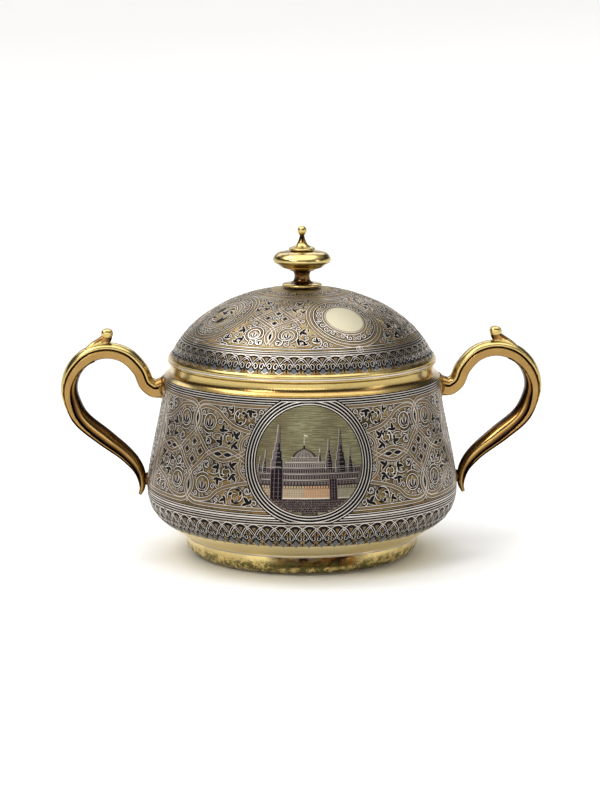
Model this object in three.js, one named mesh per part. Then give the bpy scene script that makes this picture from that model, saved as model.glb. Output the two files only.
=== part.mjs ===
// A covered sugar bowl of gilt and niello silver: a spun bowl on a rolled foot, two cast scroll
// handles, and a domed cover with a turned finial held by a stud and nut. Units are millimetres,
// +Z is up, and the origin is the centre of the foot's underside.
import * as THREE from 'three';

const SHELL_FACETS = 40;
const TURNED_FACETS = 20;
const SEAM = 0.1; // between flat faces that are soldered or stacked
const CLEARANCE = 0.3; // between curved pieces that touch

const WALL = 1.4;
const FOOT_HEIGHT = 7.6;
const FOOT_RADIUS = 43.9;
const FOOT_UNDERSIDE = 35.4;
const FOOT_ROUNDING = 3;
const BODY_TOP = 67.4;
const BODY_TOP_RADIUS = 51.5;
const NECK_TOP = 71.9;
const NECK_BORE = 47.6;
const RIM_TOP = 75.2;
const BEZEL_RADIUS = 47.2;
const BEZEL_BOTTOM = 64;

const DOME_SPRING = 67.3; // where the dome's curve would stand upright
const DOME_RISE = 32.94;
const DOME_REACH = 50.82;
const DOME_WALL = 1.2;

const STUD_RADIUS = 1.4;
const STUD_HOLE = STUD_RADIUS + CLEARANCE;
const FINIAL_BOTTOM = 100.5;
const FINIAL_STEM_BOTTOM = 101.9;
const FINIAL_BUN_BOTTOM = 106.8;
const FINIAL_BUN_SEAM = 109.7;
const FINIAL_BUN_TOP = 113.8;
const FINIAL_CAP_TOP = 115.3;
const FINIAL_BALL_RADIUS = 1.75;
const FINIAL_TOP = 123;

const HANDLE_DEPTH = 7.6; // front to back
const HANDLE_STEPS = 44;
const HANDLE_START = 54.9;
const BOW_CENTRE = [72.7, 62.8];
const BOW_RADIUS = 14.1;

const gilt = new THREE.MeshStandardMaterial({ color: 0xd2ae54, metalness: 1, roughness: 0.22 });
const niello = new THREE.MeshStandardMaterial({ color: 0x8d8368, metalness: 1, roughness: 0.42 });
const silver = new THREE.MeshStandardMaterial({ color: 0xbdb6ac, metalness: 1, roughness: 0.35 });

const bowl = new THREE.Group();

function addPiece(name, geometry, material) {
  const mesh = new THREE.Mesh(geometry, material);
  mesh.name = name;
  bowl.add(mesh);
  return mesh;
}

// Turns a closed outline of [radius, height] points, outer side upwards first, about +Z.
function turned(outline, facets) {
  const points = outline.map(([radius, height]) => new THREE.Vector2(radius, height));
  if (outline[0][0] > 0) points.push(points[0].clone());
  return new THREE.LatheGeometry(points, facets).rotateX(Math.PI / 2);
}

function smooth(stations, count) {
  const curve = new THREE.SplineCurve(stations.map(([r, z]) => new THREE.Vector2(r, z)));
  return curve.getSpacedPoints(count).map((p) => [p.x, p.y]);
}

// The outline moved to its left, which is inwards for one that runs up the outside.
function offset(outline, distance) {
  return outline.map(([radius, height], i) => {
    const before = outline[Math.max(i - 1, 0)];
    const after = outline[Math.min(i + 1, outline.length - 1)];
    const along = new THREE.Vector2(after[0] - before[0], after[1] - before[1]).normalize();
    return [radius - along.y * distance, height + along.x * distance];
  });
}

function bodyWall(count) {
  return smooth(
    [
      [44, 7.7], [48.6, 11], [53, 14], [55.8, 17], [57.4, 20.5], [58.1, 24.5],
      [57.85, 30], [56.5, 38], [54.4, 48], [52.4, 58], [BODY_TOP_RADIUS, BODY_TOP],
    ],
    count,
  );
}

function bodyShell() {
  const wall = bodyWall(15);
  const bottom = [[0, 8.9], [22, 8.7], [38, 8]];
  const inside = offset(wall.slice(2), WALL).reverse();
  inside[0] = [BODY_TOP_RADIUS - WALL, BODY_TOP];
  const floor = offset(bottom, WALL).reverse();
  floor[floor.length - 1][0] = 0;
  return turned([...bottom, ...wall, ...inside, ...floor], SHELL_FACETS);
}

function footRing() {
  const inner = FOOT_UNDERSIDE - 1.8;
  const outer = [];
  for (let step = 0; step <= 7; step += 1) {
    const share = (step / 7) ** 1.6;
    const swell = (1 - (1 - share) ** FOOT_ROUNDING) ** (1 / FOOT_ROUNDING);
    outer.push([inner + (FOOT_RADIUS - inner) * swell, FOOT_HEIGHT * share]);
  }
  outer[0] = [inner, 0];
  outer.splice(1, 0, [FOOT_UNDERSIDE, 0]);
  const inside = [[42.5, FOOT_HEIGHT], [42.1, 3.6], [40.6, 2.2], [37.5, 1.4], [inner, 1.3]];
  return turned([...outer, ...inside], SHELL_FACETS);
}

function neckRing() {
  const foot = BODY_TOP + SEAM;
  const cove = [[BODY_TOP_RADIUS, foot], [50.6, foot + 0.6], [49.8, foot + 1.4], [49.3, foot + 2.6]];
  return turned(
    [...cove, [49.2, NECK_TOP], [NECK_BORE, NECK_TOP], [NECK_BORE, foot]],
    SHELL_FACETS,
  );
}

function lidRim() {
  const foot = NECK_TOP + 0.2;
  const bore = BEZEL_RADIUS + CLEARANCE;
  const bead = [[49.5, foot], [50, foot + 0.6], [50, foot + 1.1], [49.7, foot + 1.4]];
  return turned(
    [...bead, [49.95, foot + 1.9], [49.6, foot + 2.7], [49.3, RIM_TOP], [bore, RIM_TOP], [bore, foot]],
    SHELL_FACETS,
  );
}

function lidBezel() {
  const inner = BEZEL_RADIUS - 1;
  return turned(
    [
      [BEZEL_RADIUS - 0.4, BEZEL_BOTTOM], [BEZEL_RADIUS, BEZEL_BOTTOM + 1],
      [BEZEL_RADIUS, RIM_TOP], [inner, RIM_TOP], [inner, BEZEL_BOTTOM],
    ],
    SHELL_FACETS,
  );
}

function domeHeight(radius) {
  return DOME_SPRING + DOME_RISE * (1 - (radius / DOME_REACH) ** 2.163) ** (1 / 1.737);
}

function lidDome() {
  const foot = RIM_TOP + SEAM;
  const edge = 48.8;
  const outer = [[edge, foot]];
  for (let step = 1; step <= 11; step += 1) {
    const radius = STUD_HOLE + (edge - STUD_HOLE) * Math.cos((step / 11) * (Math.PI / 2)) ** 0.9;
    outer.push([radius, domeHeight(radius)]);
  }
  const inner = offset(outer, DOME_WALL).reverse();
  inner[0] = [STUD_HOLE, domeHeight(0) - DOME_WALL];
  inner[inner.length - 1] = [edge - DOME_WALL, foot];
  return turned([...outer, ...inner], SHELL_FACETS);
}

// A turned finial piece: its outside from bottom to top, bored for the stud.
function bored(outside) {
  const low = outside[0][1];
  const high = outside[outside.length - 1][1];
  return turned([...outside, [STUD_HOLE, high], [STUD_HOLE, low]], TURNED_FACETS);
}

function finialCollar() {
  const top = FINIAL_STEM_BOTTOM - SEAM;
  return bored([[6.4, FINIAL_BOTTOM], [7.4, FINIAL_BOTTOM + 0.4], [7.3, top - 0.4], [6.2, top]]);
}

function finialStem() {
  const top = FINIAL_BUN_BOTTOM - SEAM;
  return bored([
    [4.2, FINIAL_STEM_BOTTOM], [3.2, 102.8], [2.85, 104], [2.95, 105.1], [3.5, 106], [4.4, top],
  ]);
}

function bunLower() {
  const seam = FINIAL_BUN_SEAM - SEAM;
  return turned(
    [
      [5.2, FINIAL_BUN_BOTTOM], [7.9, 107.9], [8.8, 108.6], [10.5, seam],
      [9.4, seam], [7.6, 108.9], [4.6, 107.9], [STUD_HOLE, 107.8], [STUD_HOLE, FINIAL_BUN_BOTTOM],
    ],
    TURNED_FACETS,
  );
}

function bunUpper() {
  return turned(
    [
      [10.5, FINIAL_BUN_SEAM], [10.8, 110.6], [10.6, 111.5], [9.8, 112.6], [8.2, 113.3],
      [5.4, FINIAL_BUN_TOP], [STUD_HOLE, FINIAL_BUN_TOP], [STUD_HOLE, 112.7], [7.9, 112.2],
      [9.5, 111.2], [9.4, FINIAL_BUN_SEAM],
    ],
    TURNED_FACETS,
  );
}

function finialCap() {
  const foot = FINIAL_BUN_TOP + SEAM;
  const top = FINIAL_CAP_TOP - SEAM;
  return bored([[3.7, foot], [4.9, foot + 0.5], [4.8, foot + 0.8], [3.9, top]]);
}

function finialSpire() {
  const ball = [];
  const centre = FINIAL_TOP - FINIAL_BALL_RADIUS;
  for (let step = 0; step <= 7; step += 1) {
    const angle = -1.05 + (step / 7) * (Math.PI / 2 + 1.05);
    ball.push([FINIAL_BALL_RADIUS * Math.cos(angle), centre + FINIAL_BALL_RADIUS * Math.sin(angle)]);
  }
  ball[ball.length - 1][0] = 0;
  const spire = [[0, FINIAL_CAP_TOP], [3.3, FINIAL_CAP_TOP], [2.1, 116.3], [1.35, 117.4], [0.9, 118.9]];
  return turned([...spire, ...ball], TURNED_FACETS);
}

function stud() {
  const bottom = 94.8;
  const top = FINIAL_CAP_TOP - CLEARANCE;
  return turned([[0, bottom], [STUD_RADIUS, bottom], [STUD_RADIUS, top], [0, top]], TURNED_FACETS);
}

function washer() {
  return bored([[5, 97.9], [5, 98.5]]);
}

function hexNut() {
  const shape = new THREE.Shape();
  for (let corner = 0; corner < 6; corner += 1) {
    const angle = (corner * Math.PI) / 3;
    const point = [3.4 * Math.cos(angle), 3.4 * Math.sin(angle)];
    if (corner === 0) shape.moveTo(...point);
    else shape.lineTo(...point);
  }
  const hole = new THREE.Path();
  hole.absarc(0, 0, STUD_HOLE, 0, Math.PI * 2, true);
  shape.holes.push(hole);
  const height = 1.9;
  return new THREE.ExtrudeGeometry(shape, { depth: height, bevelEnabled: false, curveSegments: 12 })
    .translate(0, 0, 97.8 - height);
}

// The handle's middle line, outwards from the body, over the bow and down to the tail's tip.
function handleLine() {
  const points = [[HANDLE_START, 62.4], [55.9, 62.5], [58.3, 64.6]];
  for (let degrees = 150; degrees >= -30; degrees -= 30) {
    const angle = THREE.MathUtils.degToRad(degrees);
    points.push([
      BOW_CENTRE[0] + BOW_RADIUS * Math.cos(angle),
      BOW_CENTRE[1] + BOW_RADIUS * Math.sin(angle),
    ]);
  }
  points.push([81.4, 50.4], [74.2, 44.5], [66.7, 38.5], [62.4, 33.6], [60.6, 29.2], [60.4, 25], [61, 22.2]);
  return new THREE.CatmullRomCurve3(points.map(([x, z]) => new THREE.Vector3(x, 0, z)));
}

// A value between the listed [share of the length, value] stations.
function along(stations, share) {
  const next = stations.findIndex(([at]) => at >= share);
  if (next <= 0) return stations[Math.max(next, 0)][1];
  const [[fromAt, from], [toAt, to]] = [stations[next - 1], stations[next]];
  return from + ((to - from) * (share - fromAt)) / (toAt - fromAt);
}

function handleSection() {
  const shape = new THREE.Shape();
  shape.moveTo(-0.5, -0.2);
  shape.lineTo(-0.38, -0.4);
  shape.lineTo(-0.1, -0.5);
  shape.lineTo(0.3, -0.46);
  shape.lineTo(0.5, -0.2);
  shape.lineTo(0.5, 0.2);
  shape.lineTo(0.3, 0.46);
  shape.lineTo(-0.1, 0.5);
  shape.lineTo(-0.38, 0.4);
  shape.lineTo(-0.5, 0.2);
  return shape;
}

// Extrudes the section straight, then lays it along the middle line as it narrows to the tail.
function handleScroll() {
  const geometry = new THREE.ExtrudeGeometry(handleSection(), {
    depth: 1, steps: HANDLE_STEPS, bevelEnabled: false,
  });
  const line = handleLine();
  const width = [[0, 6], [0.3, 6], [0.5, 6.5], [0.72, 6.5], [0.86, 4.6], [0.94, 2.5], [1, 1.5]];
  const depth = [[0, 1], [0.76, 1], [0.9, 0.7], [1, 0.42]];
  const position = geometry.getAttribute('position');
  for (let i = 0; i < position.count; i += 1) {
    const share = THREE.MathUtils.clamp(position.getZ(i), 0, 1);
    const centre = line.getPointAt(share);
    const tangent = line.getTangentAt(share);
    const outwards = position.getX(i) * along(width, share);
    const sideways = -position.getY(i) * along(depth, share) * HANDLE_DEPTH;
    position.setXYZ(i, centre.x - tangent.z * outwards, sideways, centre.z + tangent.x * outwards);
  }
  return geometry;
}

function handleSpur() {
  const seat = BOW_RADIUS + 3.1 + CLEARANCE;
  const onBow = (x) => [x, BOW_CENTRE[1] + Math.sqrt(seat ** 2 - (x - BOW_CENTRE[0]) ** 2)];
  const back = [[70.8, 81.6], [70.9, 83.2], [71.9, 84.5], [73.6, 85.1], [75.1, 84.9]];
  const front = [[75.5, 84.2], [74.8, 83.3], [74.9, 82.1], [75.9, 81], [77.6, 80.3]];
  const outline = [onBow(77.4), onBow(74.6), onBow(71.6), ...back, ...front];
  const shape = new THREE.Shape(outline.map(([x, z]) => new THREE.Vector2(x, -z)));
  const depth = 6;
  return new THREE.ExtrudeGeometry(shape, { depth, bevelEnabled: false })
    .translate(0, 0, -depth / 2)
    .rotateX(-Math.PI / 2);
}

// Turned about the X axis, from [radius, x] points.
function turnedOutwards(outline) {
  return turned(outline, TURNED_FACETS).rotateY(Math.PI / 2);
}

function handleCollar() {
  const end = HANDLE_START - CLEARANCE;
  return turnedOutwards([[0, 52.7], [4.7, 52.7], [4, 53.4], [3.6, end], [0, end]]).translate(0, 0, 62.3);
}

function handlePad() {
  return turnedOutwards([[0, 58.3], [2.4, 58.3], [2.1, 58.9], [0, 58.9]]).translate(0, 0, 28);
}

function addHandle(side, turn) {
  const handle = new THREE.Group();
  handle.rotation.z = turn;
  bowl.add(handle);
  handle.add(addPiece(`${side}_handle_scroll`, handleScroll(), gilt));
  handle.add(addPiece(`${side}_handle_spur`, handleSpur(), gilt));
  handle.add(addPiece(`${side}_handle_collar`, handleCollar(), gilt));
  handle.add(addPiece(`${side}_handle_pad`, handlePad(), gilt));
}

addPiece('body_shell', bodyShell(), niello);
addPiece('foot_ring', footRing(), gilt);
addPiece('neck_ring', neckRing(), gilt);
addHandle('right', 0);
addHandle('left', Math.PI);
addPiece('lid_dome', lidDome(), niello);
addPiece('lid_rim', lidRim(), gilt);
addPiece('lid_bezel', lidBezel(), gilt);
addPiece('finial_collar', finialCollar(), gilt);
addPiece('finial_stem', finialStem(), gilt);
addPiece('finial_bun_lower', bunLower(), gilt);
addPiece('finial_bun_upper', bunUpper(), gilt);
addPiece('finial_cap', finialCap(), gilt);
addPiece('finial_spire', finialSpire(), gilt);
addPiece('finial_stud', stud(), silver);
addPiece('finial_washer', washer(), silver);
addPiece('finial_nut', hexNut(), silver);

export default bowl;
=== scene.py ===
import math

import bpy
import numpy as np
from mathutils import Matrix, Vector


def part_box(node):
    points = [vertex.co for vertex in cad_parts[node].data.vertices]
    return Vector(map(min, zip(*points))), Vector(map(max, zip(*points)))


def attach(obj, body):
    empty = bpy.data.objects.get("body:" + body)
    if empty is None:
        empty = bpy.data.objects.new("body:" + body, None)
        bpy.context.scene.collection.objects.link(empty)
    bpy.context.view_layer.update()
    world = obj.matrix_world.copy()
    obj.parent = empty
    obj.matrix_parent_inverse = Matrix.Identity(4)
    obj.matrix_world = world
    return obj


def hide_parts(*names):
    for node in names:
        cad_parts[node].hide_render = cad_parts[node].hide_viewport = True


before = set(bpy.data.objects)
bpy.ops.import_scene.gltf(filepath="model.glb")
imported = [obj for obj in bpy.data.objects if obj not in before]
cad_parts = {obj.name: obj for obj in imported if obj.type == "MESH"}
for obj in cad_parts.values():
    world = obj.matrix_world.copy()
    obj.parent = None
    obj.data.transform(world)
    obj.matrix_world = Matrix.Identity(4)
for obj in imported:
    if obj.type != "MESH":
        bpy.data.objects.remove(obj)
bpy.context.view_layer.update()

# Shapes are worked out in millimetres and become metres when a piece is made.
MM = 0.001
TAU = 2 * math.pi
LATHE_STEPS = 320
SMALL_LATHE_STEPS = 128

# Heights from the frame, in mm.
BODY_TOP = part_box("body_shell")[1].z / MM
FOOT_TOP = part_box("foot_ring")[1].z / MM
FOOT_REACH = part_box("foot_ring")[1].x / MM
NECK_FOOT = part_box("neck_ring")[0].z / MM
NECK_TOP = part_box("neck_ring")[1].z / MM
RIM_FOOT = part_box("lid_rim")[0].z / MM
RIM_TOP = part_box("lid_rim")[1].z / MM
DOME_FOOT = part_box("lid_dome")[0].z / MM
COLLAR_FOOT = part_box("finial_collar")[0].z / MM
FINIAL_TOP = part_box("finial_spire")[1].z / MM

# How the inlay is made, from the stippled gilt ground upwards: niello outlines, the brown cores of the
# straps, the silver lines, and the black hearts of the leaves.
NIELLO_HEIGHT = 0.025
CORE_HEIGHT = 0.04
LINE_HEIGHT = 0.06
HEART_HEIGHT = 0.085
SINK = 0.07
LINE = 0.36
LEAF_EDGE = 0.2
STRAP_WIDTH = 2.0
STRAP_CORE = 0.9
STRAP_LINE = 0.3
STRAP_LINE_OFFSET = 0.6
STEM_NIELLO = 1.1
STEP = 0.55
LONGEST_STEP = 0.9

# The body's ornament is four units, drawn flat as if the metal's radius were UNIT_RADIUS, round two pictures.
UNITS_AT = math.radians(48.3)
UNIT_HEIGHT = 46.2
UNIT_RADIUS = 55
UNIT_EDGE = 24.2
MEDALLION_HEIGHT = 45.6
MEDALLION_RINGS = [19.7, 20.7, 21.8, 22.9]


# ---------------------------------------------------------------- curves and surfaces


def smooth(points, step=STEP, closed=False):
    """A Catmull-Rom curve through the points, as evenly spaced places."""
    points = np.array(points, float)
    if closed:
        points = np.vstack([points[-1], points, points[0], points[1]])
    else:
        points = np.vstack([2 * points[0] - points[1], points, 2 * points[-1] - points[-2]])
    pieces = []
    for before, start, end, after in zip(points, points[1:], points[2:], points[3:]):
        count = max(3, int(np.linalg.norm(end - start) / step * 3))
        t = np.linspace(0, 1, count, endpoint=False)[:, None]
        straight = 2 * start + (end - before) * t
        square = (2 * before - 5 * start + 4 * end - after) * t**2
        cube = (3 * start - before - 3 * end + after) * t**3
        pieces.append(0.5 * (straight + square + cube))
    pieces.append(points[-2][None])
    return spaced(np.vstack(pieces), step)


def spaced(line, step=STEP):
    """The same line with its points an even step apart."""
    line = np.asarray(line, float)
    along = np.concatenate([[0], np.cumsum(np.linalg.norm(np.diff(line, axis=0), axis=1))])
    count = max(2, int(round(along[-1] / step)) + 1)
    at = np.linspace(0, along[-1], count)
    return np.stack([np.interp(at, along, line[:, i]) for i in range(line.shape[1])], axis=1)


def arc(centre, radius, start, end, step=STEP):
    """Degrees, anticlockwise from +X."""
    count = max(4, int(abs(math.radians(end - start)) * radius / step) + 1)
    angle = np.radians(np.linspace(start, end, count))
    return np.array(centre) + radius * np.stack([np.cos(angle), np.sin(angle)], axis=1)


def spiral(centre, outer, inner, start, sweep, step=0.5, power=0.8):
    """From radius outer at the start angle, winding through sweep degrees to radius inner; with a larger
    power it keeps to the outer circle for longer."""
    length = abs(math.radians(sweep)) * (outer + inner) / 2
    share = np.linspace(0, 1, max(6, int(length / step) + 1))
    angle = np.radians(start + sweep * share)
    radius = outer + (inner - outer) * share**power
    return np.array(centre) + np.stack([radius * np.cos(angle), radius * np.sin(angle)], axis=1)


class Surface:
    """A surface of revolution. A place on it is (turn, rise): radians about +Z from the front, positive to
    the right, and the distance in mm up the profile from its foot."""

    def __init__(self, profile):
        self.r, self.z = spaced(profile, 0.1).T
        steps = np.hypot(np.diff(self.r), np.diff(self.z))
        self.rise = np.concatenate([[0], np.cumsum(steps)])

    def at_height(self, z):
        return np.interp(z, self.z, self.rise)

    def radius(self, rise):
        return np.interp(rise, self.rise, self.r)

    def frame(self, places):
        """Points in mm and outward normals."""
        turn, rise = np.asarray(places, float).T
        r = np.interp(rise, self.rise, self.r)
        z = np.interp(rise, self.rise, self.z)
        gap = 0.3
        dr = np.interp(rise + gap, self.rise, self.r) - np.interp(rise - gap, self.rise, self.r)
        dz = np.interp(rise + gap, self.rise, self.z) - np.interp(rise - gap, self.rise, self.z)
        size = np.hypot(dr, dz)
        dr, dz = dr / size, dz / size
        sine, cosine = np.sin(turn), np.cos(turn)
        points = np.stack([r * sine, -r * cosine, z], axis=1)
        normals = np.stack([dz * sine, -dz * cosine, -dr], axis=1)
        return points, normals


# ---------------------------------------------------------------- meshes


def make_piece(name, points, faces, materials, face_materials=None, sharp=40):
    """One mesh object from points in mm."""
    mesh = bpy.data.meshes.new(name)
    mesh.from_pydata((np.asarray(points) * MM).tolist(), [], faces)
    for material in materials:
        mesh.materials.append(material)
    if face_materials is not None:
        mesh.polygons.foreach_set("material_index", np.asarray(face_materials, np.int32))
    mesh.shade_smooth()
    mesh.set_sharp_from_angle(angle=math.radians(sharp))
    mesh.validate()
    piece = bpy.data.objects.new(name, mesh)
    bpy.context.scene.collection.objects.link(piece)
    return piece


def settle(piece, body, slot, *nodes):
    """Puts a piece on its body and in place of the CAD nodes that it stands for; slot is not used."""
    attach(piece, body)
    if nodes:
        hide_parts(*nodes)


def lathe(name, outline, materials, bands=None, steps=LATHE_STEPS, sharp=40, axis="Z", shift=(0, 0, 0)):
    """Turns a closed outline of (radius, height) about an axis; bands gives each outline edge's material."""
    outline = np.asarray(outline, float)
    angle = np.linspace(0, TAU, steps, endpoint=False)
    rows = len(outline)
    radius, height = outline.T
    x = np.outer(np.sin(angle), radius)
    y = np.outer(-np.cos(angle), radius)
    z = np.broadcast_to(height, x.shape)
    points = np.stack([x, y, z], axis=2).reshape(-1, 3)
    if axis == "X":
        points = points[:, [2, 0, 1]]
    points = points + np.array(shift)
    faces = []
    used = []
    for step in range(steps):
        here = step * rows
        there = ((step + 1) % steps) * rows
        for i in range(rows):
            j = (i + 1) % rows
            on_axis = radius[i] < 1e-6, radius[j] < 1e-6
            if all(on_axis):
                continue
            quad = [here + i, there + i, there + j, here + j]
            if on_axis[0]:
                quad = [i, there + j, here + j]
            if on_axis[1]:
                quad = [here + i, there + i, j]
            faces.append(quad)
            used.append(bands[i] if bands else 0)
    return make_piece(name, points, faces, materials, used, sharp)


class Inlay:
    """Closed strips and leaves laid on a surface, gathered into one mesh for each material."""

    def __init__(self, surface):
        self.surface = surface
        self.points = {}
        self.faces = {}
        self.counts = {}

    def strip(self, kind, places, width, height, offset=0.0, closed=False):
        """A low closed bar along the places. width is one number or one for each place."""
        places = np.asarray(places, float)
        if closed and np.allclose(places[0], places[-1]):
            places = places[:-1]
        centre, normal = self.surface.frame(places)
        if closed:
            ahead = np.roll(centre, -1, axis=0) - np.roll(centre, 1, axis=0)
        else:
            ahead = np.gradient(centre, axis=0)
        side = np.cross(normal, ahead)
        side /= np.maximum(np.linalg.norm(side, axis=1, keepdims=True), 1e-9)
        half = np.broadcast_to(np.asarray(width, float) / 2, len(places))[:, None]
        middle = centre + side * offset
        low = middle - normal * SINK
        high = middle + normal * height
        inset = np.maximum(half * 0.62, half - 0.07)
        corners = [low - side * half, high - side * inset, high + side * inset, low + side * half]
        ring = np.stack(corners, axis=1)
        count = len(places)
        start = self.counts.get(kind, 0)
        index = start + np.arange(count * 4).reshape(count, 4)
        if closed:
            here, there = index, np.roll(index, -1, axis=0)
        else:
            here, there = index[:-1], index[1:]
        faces = self.faces.setdefault(kind, [])
        for i in range(4):
            j = (i + 1) % 4
            faces.append(np.stack([here[:, i], here[:, j], there[:, j], there[:, i]], axis=1))
        if not closed:
            faces.append(index[0][::-1][None])
            faces.append(index[-1][None])
        self.points.setdefault(kind, []).append(ring.reshape(-1, 3))
        self.counts[kind] = start + count * 4

    def pieces(self, name, body):
        """Makes one piece for each material that was used."""
        for kind, points in self.points.items():
            faces = np.vstack(self.faces[kind]).tolist()
            piece = make_piece(f"{name}_{kind}", np.vstack(points), faces, [INLAY_MATERIALS[kind]], sharp=50)
            settle(piece, body, INLAY_SLOTS[kind])


# ---------------------------------------------------------------- materials


def set_stops(ramp, stops):
    """Gives a colour ramp its stops, as (place, colour)."""
    elements = ramp.color_ramp.elements
    while len(elements) < len(stops):
        elements.new(0.5)
    for element, (at, colour) in zip(elements, stops):
        element.position = at
        element.color = (*colour, 1)


class Nodes:
    """A short way to write a material's node tree."""

    def __init__(self, name):
        self.material = bpy.data.materials.new(name)
        self.material.use_nodes = True
        self.tree = self.material.node_tree
        self.shader = self.tree.nodes["Principled BSDF"]
        self.place = self.tree.nodes.new("ShaderNodeTexCoord").outputs["Object"]

    def add(self, kind, **settings):
        node = self.tree.nodes.new(kind)
        for key, value in settings.items():
            setattr(node, key, value)
        return node

    def link(self, output, socket):
        self.tree.links.new(output, socket)

    def feed(self, socket, value):
        """Links an output to a socket, or sets the socket to a colour or a number."""
        if isinstance(value, bpy.types.NodeSocket):
            self.link(value, socket)
        elif isinstance(value, tuple):
            socket.default_value = (*value, 1)
        else:
            socket.default_value = value

    def position(self, axis, low, high):
        """How far along an axis a point is, as 0 at low mm to 1 at high mm."""
        split = self.add("ShaderNodeSeparateXYZ")
        self.link(self.place, split.inputs["Vector"])
        node = self.add("ShaderNodeMapRange")
        node.inputs["From Min"].default_value = low * MM
        node.inputs["From Max"].default_value = high * MM
        self.link(split.outputs[axis], node.inputs["Value"])
        return node.outputs["Result"]

    def noise(self, scale, detail=4.0, roughness=0.55, stretch=None):
        node = self.add("ShaderNodeTexNoise")
        node.inputs["Scale"].default_value = scale
        node.inputs["Detail"].default_value = detail
        node.inputs["Roughness"].default_value = roughness
        source = self.place
        if stretch:
            mapping = self.add("ShaderNodeMapping")
            mapping.inputs["Scale"].default_value = stretch
            self.link(source, mapping.inputs["Vector"])
            source = mapping.outputs["Vector"]
        self.link(source, node.inputs["Vector"])
        return node.outputs["Fac"]

    def cells(self, scale):
        node = self.add("ShaderNodeTexVoronoi")
        node.inputs["Scale"].default_value = scale
        self.link(self.place, node.inputs["Vector"])
        return node.outputs["Distance"]

    def ramp(self, factor, stops):
        node = self.add("ShaderNodeValToRGB")
        set_stops(node, stops)
        self.link(factor, node.inputs["Fac"])
        return node.outputs["Color"]

    def fade(self, factor, low, high):
        """Black up to low and white from high."""
        return self.ramp(factor, [(low, BLACK), (high, WHITE)])

    def mix(self, factor, first, second):
        node = self.add("ShaderNodeMix", data_type="RGBA")
        for number, value in ((0, factor), (6, first), (7, second)):
            self.feed(node.inputs[number], value)
        return node.outputs[2]

    def span(self, factor, low, high):
        """The factor's 0 to 1 as low to high."""
        node = self.add("ShaderNodeMapRange")
        node.inputs["To Min"].default_value = low
        node.inputs["To Max"].default_value = high
        self.link(factor, node.inputs["Value"])
        return node.outputs["Result"]

    def bump(self, height, strength, distance):
        node = self.add("ShaderNodeBump")
        node.inputs["Strength"].default_value = strength
        node.inputs["Distance"].default_value = distance
        self.link(height, node.inputs["Height"])
        self.link(node.outputs["Normal"], self.shader.inputs["Normal"])

    def finish(self, colour, roughness, metallic=1.0):
        self.feed(self.shader.inputs["Base Color"], colour)
        self.feed(self.shader.inputs["Roughness"], roughness)
        self.shader.inputs["Metallic"].default_value = metallic
        return self.material


BLACK = (0, 0, 0)
WHITE = (1, 1, 1)
GILDING = (0.56, 0.43, 0.165)
GILDING_PALE = (0.74, 0.63, 0.33)
GILDING_BROWN = (0.26, 0.13, 0.035)
GILDING_BLACK = (0.035, 0.018, 0.008)


def gilt_material():
    """Polished gilding with orange-brown tarnish in patches and fine wear."""
    nodes = Nodes("polished_gilt")
    tarnish = nodes.fade(nodes.noise(70, 6, 0.62), 0.46, 0.66)
    colour = nodes.mix(nodes.span(tarnish, 0, 0.6), GILDING, GILDING_BROWN)
    fine = nodes.noise(900, 3, 0.6)
    colour = nodes.mix(nodes.span(fine, 0, 0.25), colour, GILDING_PALE)
    rough = nodes.span(nodes.noise(160, 5, 0.6), 0.12, 0.3)
    nodes.bump(nodes.noise(260, 4, 0.6), 0.12, 0.0004)
    return nodes.finish(colour, rough)


def handle_material():
    """Gilding that darkens through orange-brown to brown-black where the mesh carries patina and painted
    shade.
    """
    nodes = Nodes("handle_gilt")
    patina_and_shade = nodes.add("ShaderNodeAttribute", attribute_name="patina_and_shade").outputs["Fac"]
    cloud = nodes.noise(110, 6, 0.65)
    amount = nodes.add("ShaderNodeMath", operation="MULTIPLY")
    nodes.link(patina_and_shade, amount.inputs[0])
    nodes.link(nodes.span(cloud, 0.55, 1.35), amount.inputs[1])
    amount = amount.outputs["Value"]
    speckle = nodes.fade(nodes.noise(1100, 3, 0.7), 0.45, 0.75)
    colour = nodes.mix(nodes.span(speckle, 0, 0.35), GILDING, (0.36, 0.23, 0.08))
    brown = nodes.fade(amount, 0.0, 0.45)
    black = nodes.fade(amount, 0.4, 0.85)
    colour = nodes.mix(brown, colour, GILDING_BROWN)
    colour = nodes.mix(black, colour, GILDING_BLACK)
    nodes.bump(nodes.noise(260, 4, 0.6), 0.12, 0.0004)
    return nodes.finish(colour, nodes.span(cloud, 0.14, 0.26))


def plain_material():
    """The smooth plain gilding between the lower band and the foot, painted brighter: painted light for a
    zone that faces down towards the floor's shade.
    """
    nodes = Nodes("plain_gilt_painted_light")
    rubbed = nodes.noise(60, 4, 0.6)
    colour = nodes.mix(rubbed, (0.86, 0.70, 0.36), (0.98, 0.88, 0.55))
    nodes.bump(nodes.noise(700, 3, 0.6), 0.08, 0.0002)
    return nodes.finish(colour, nodes.span(rubbed, 0.30, 0.42))


def brown_material():
    """The finial's waist, coloured nearly black-brown."""
    nodes = Nodes("browned_gilt")
    tone = nodes.ramp(nodes.noise(240, 5, 0.6), [(0.35, (0.025, 0.01, 0.005)), (0.72, (0.22, 0.12, 0.04))])
    nodes.bump(nodes.noise(500, 3, 0.6), 0.1, 0.0002)
    return nodes.finish(tone, 0.25)


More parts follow.
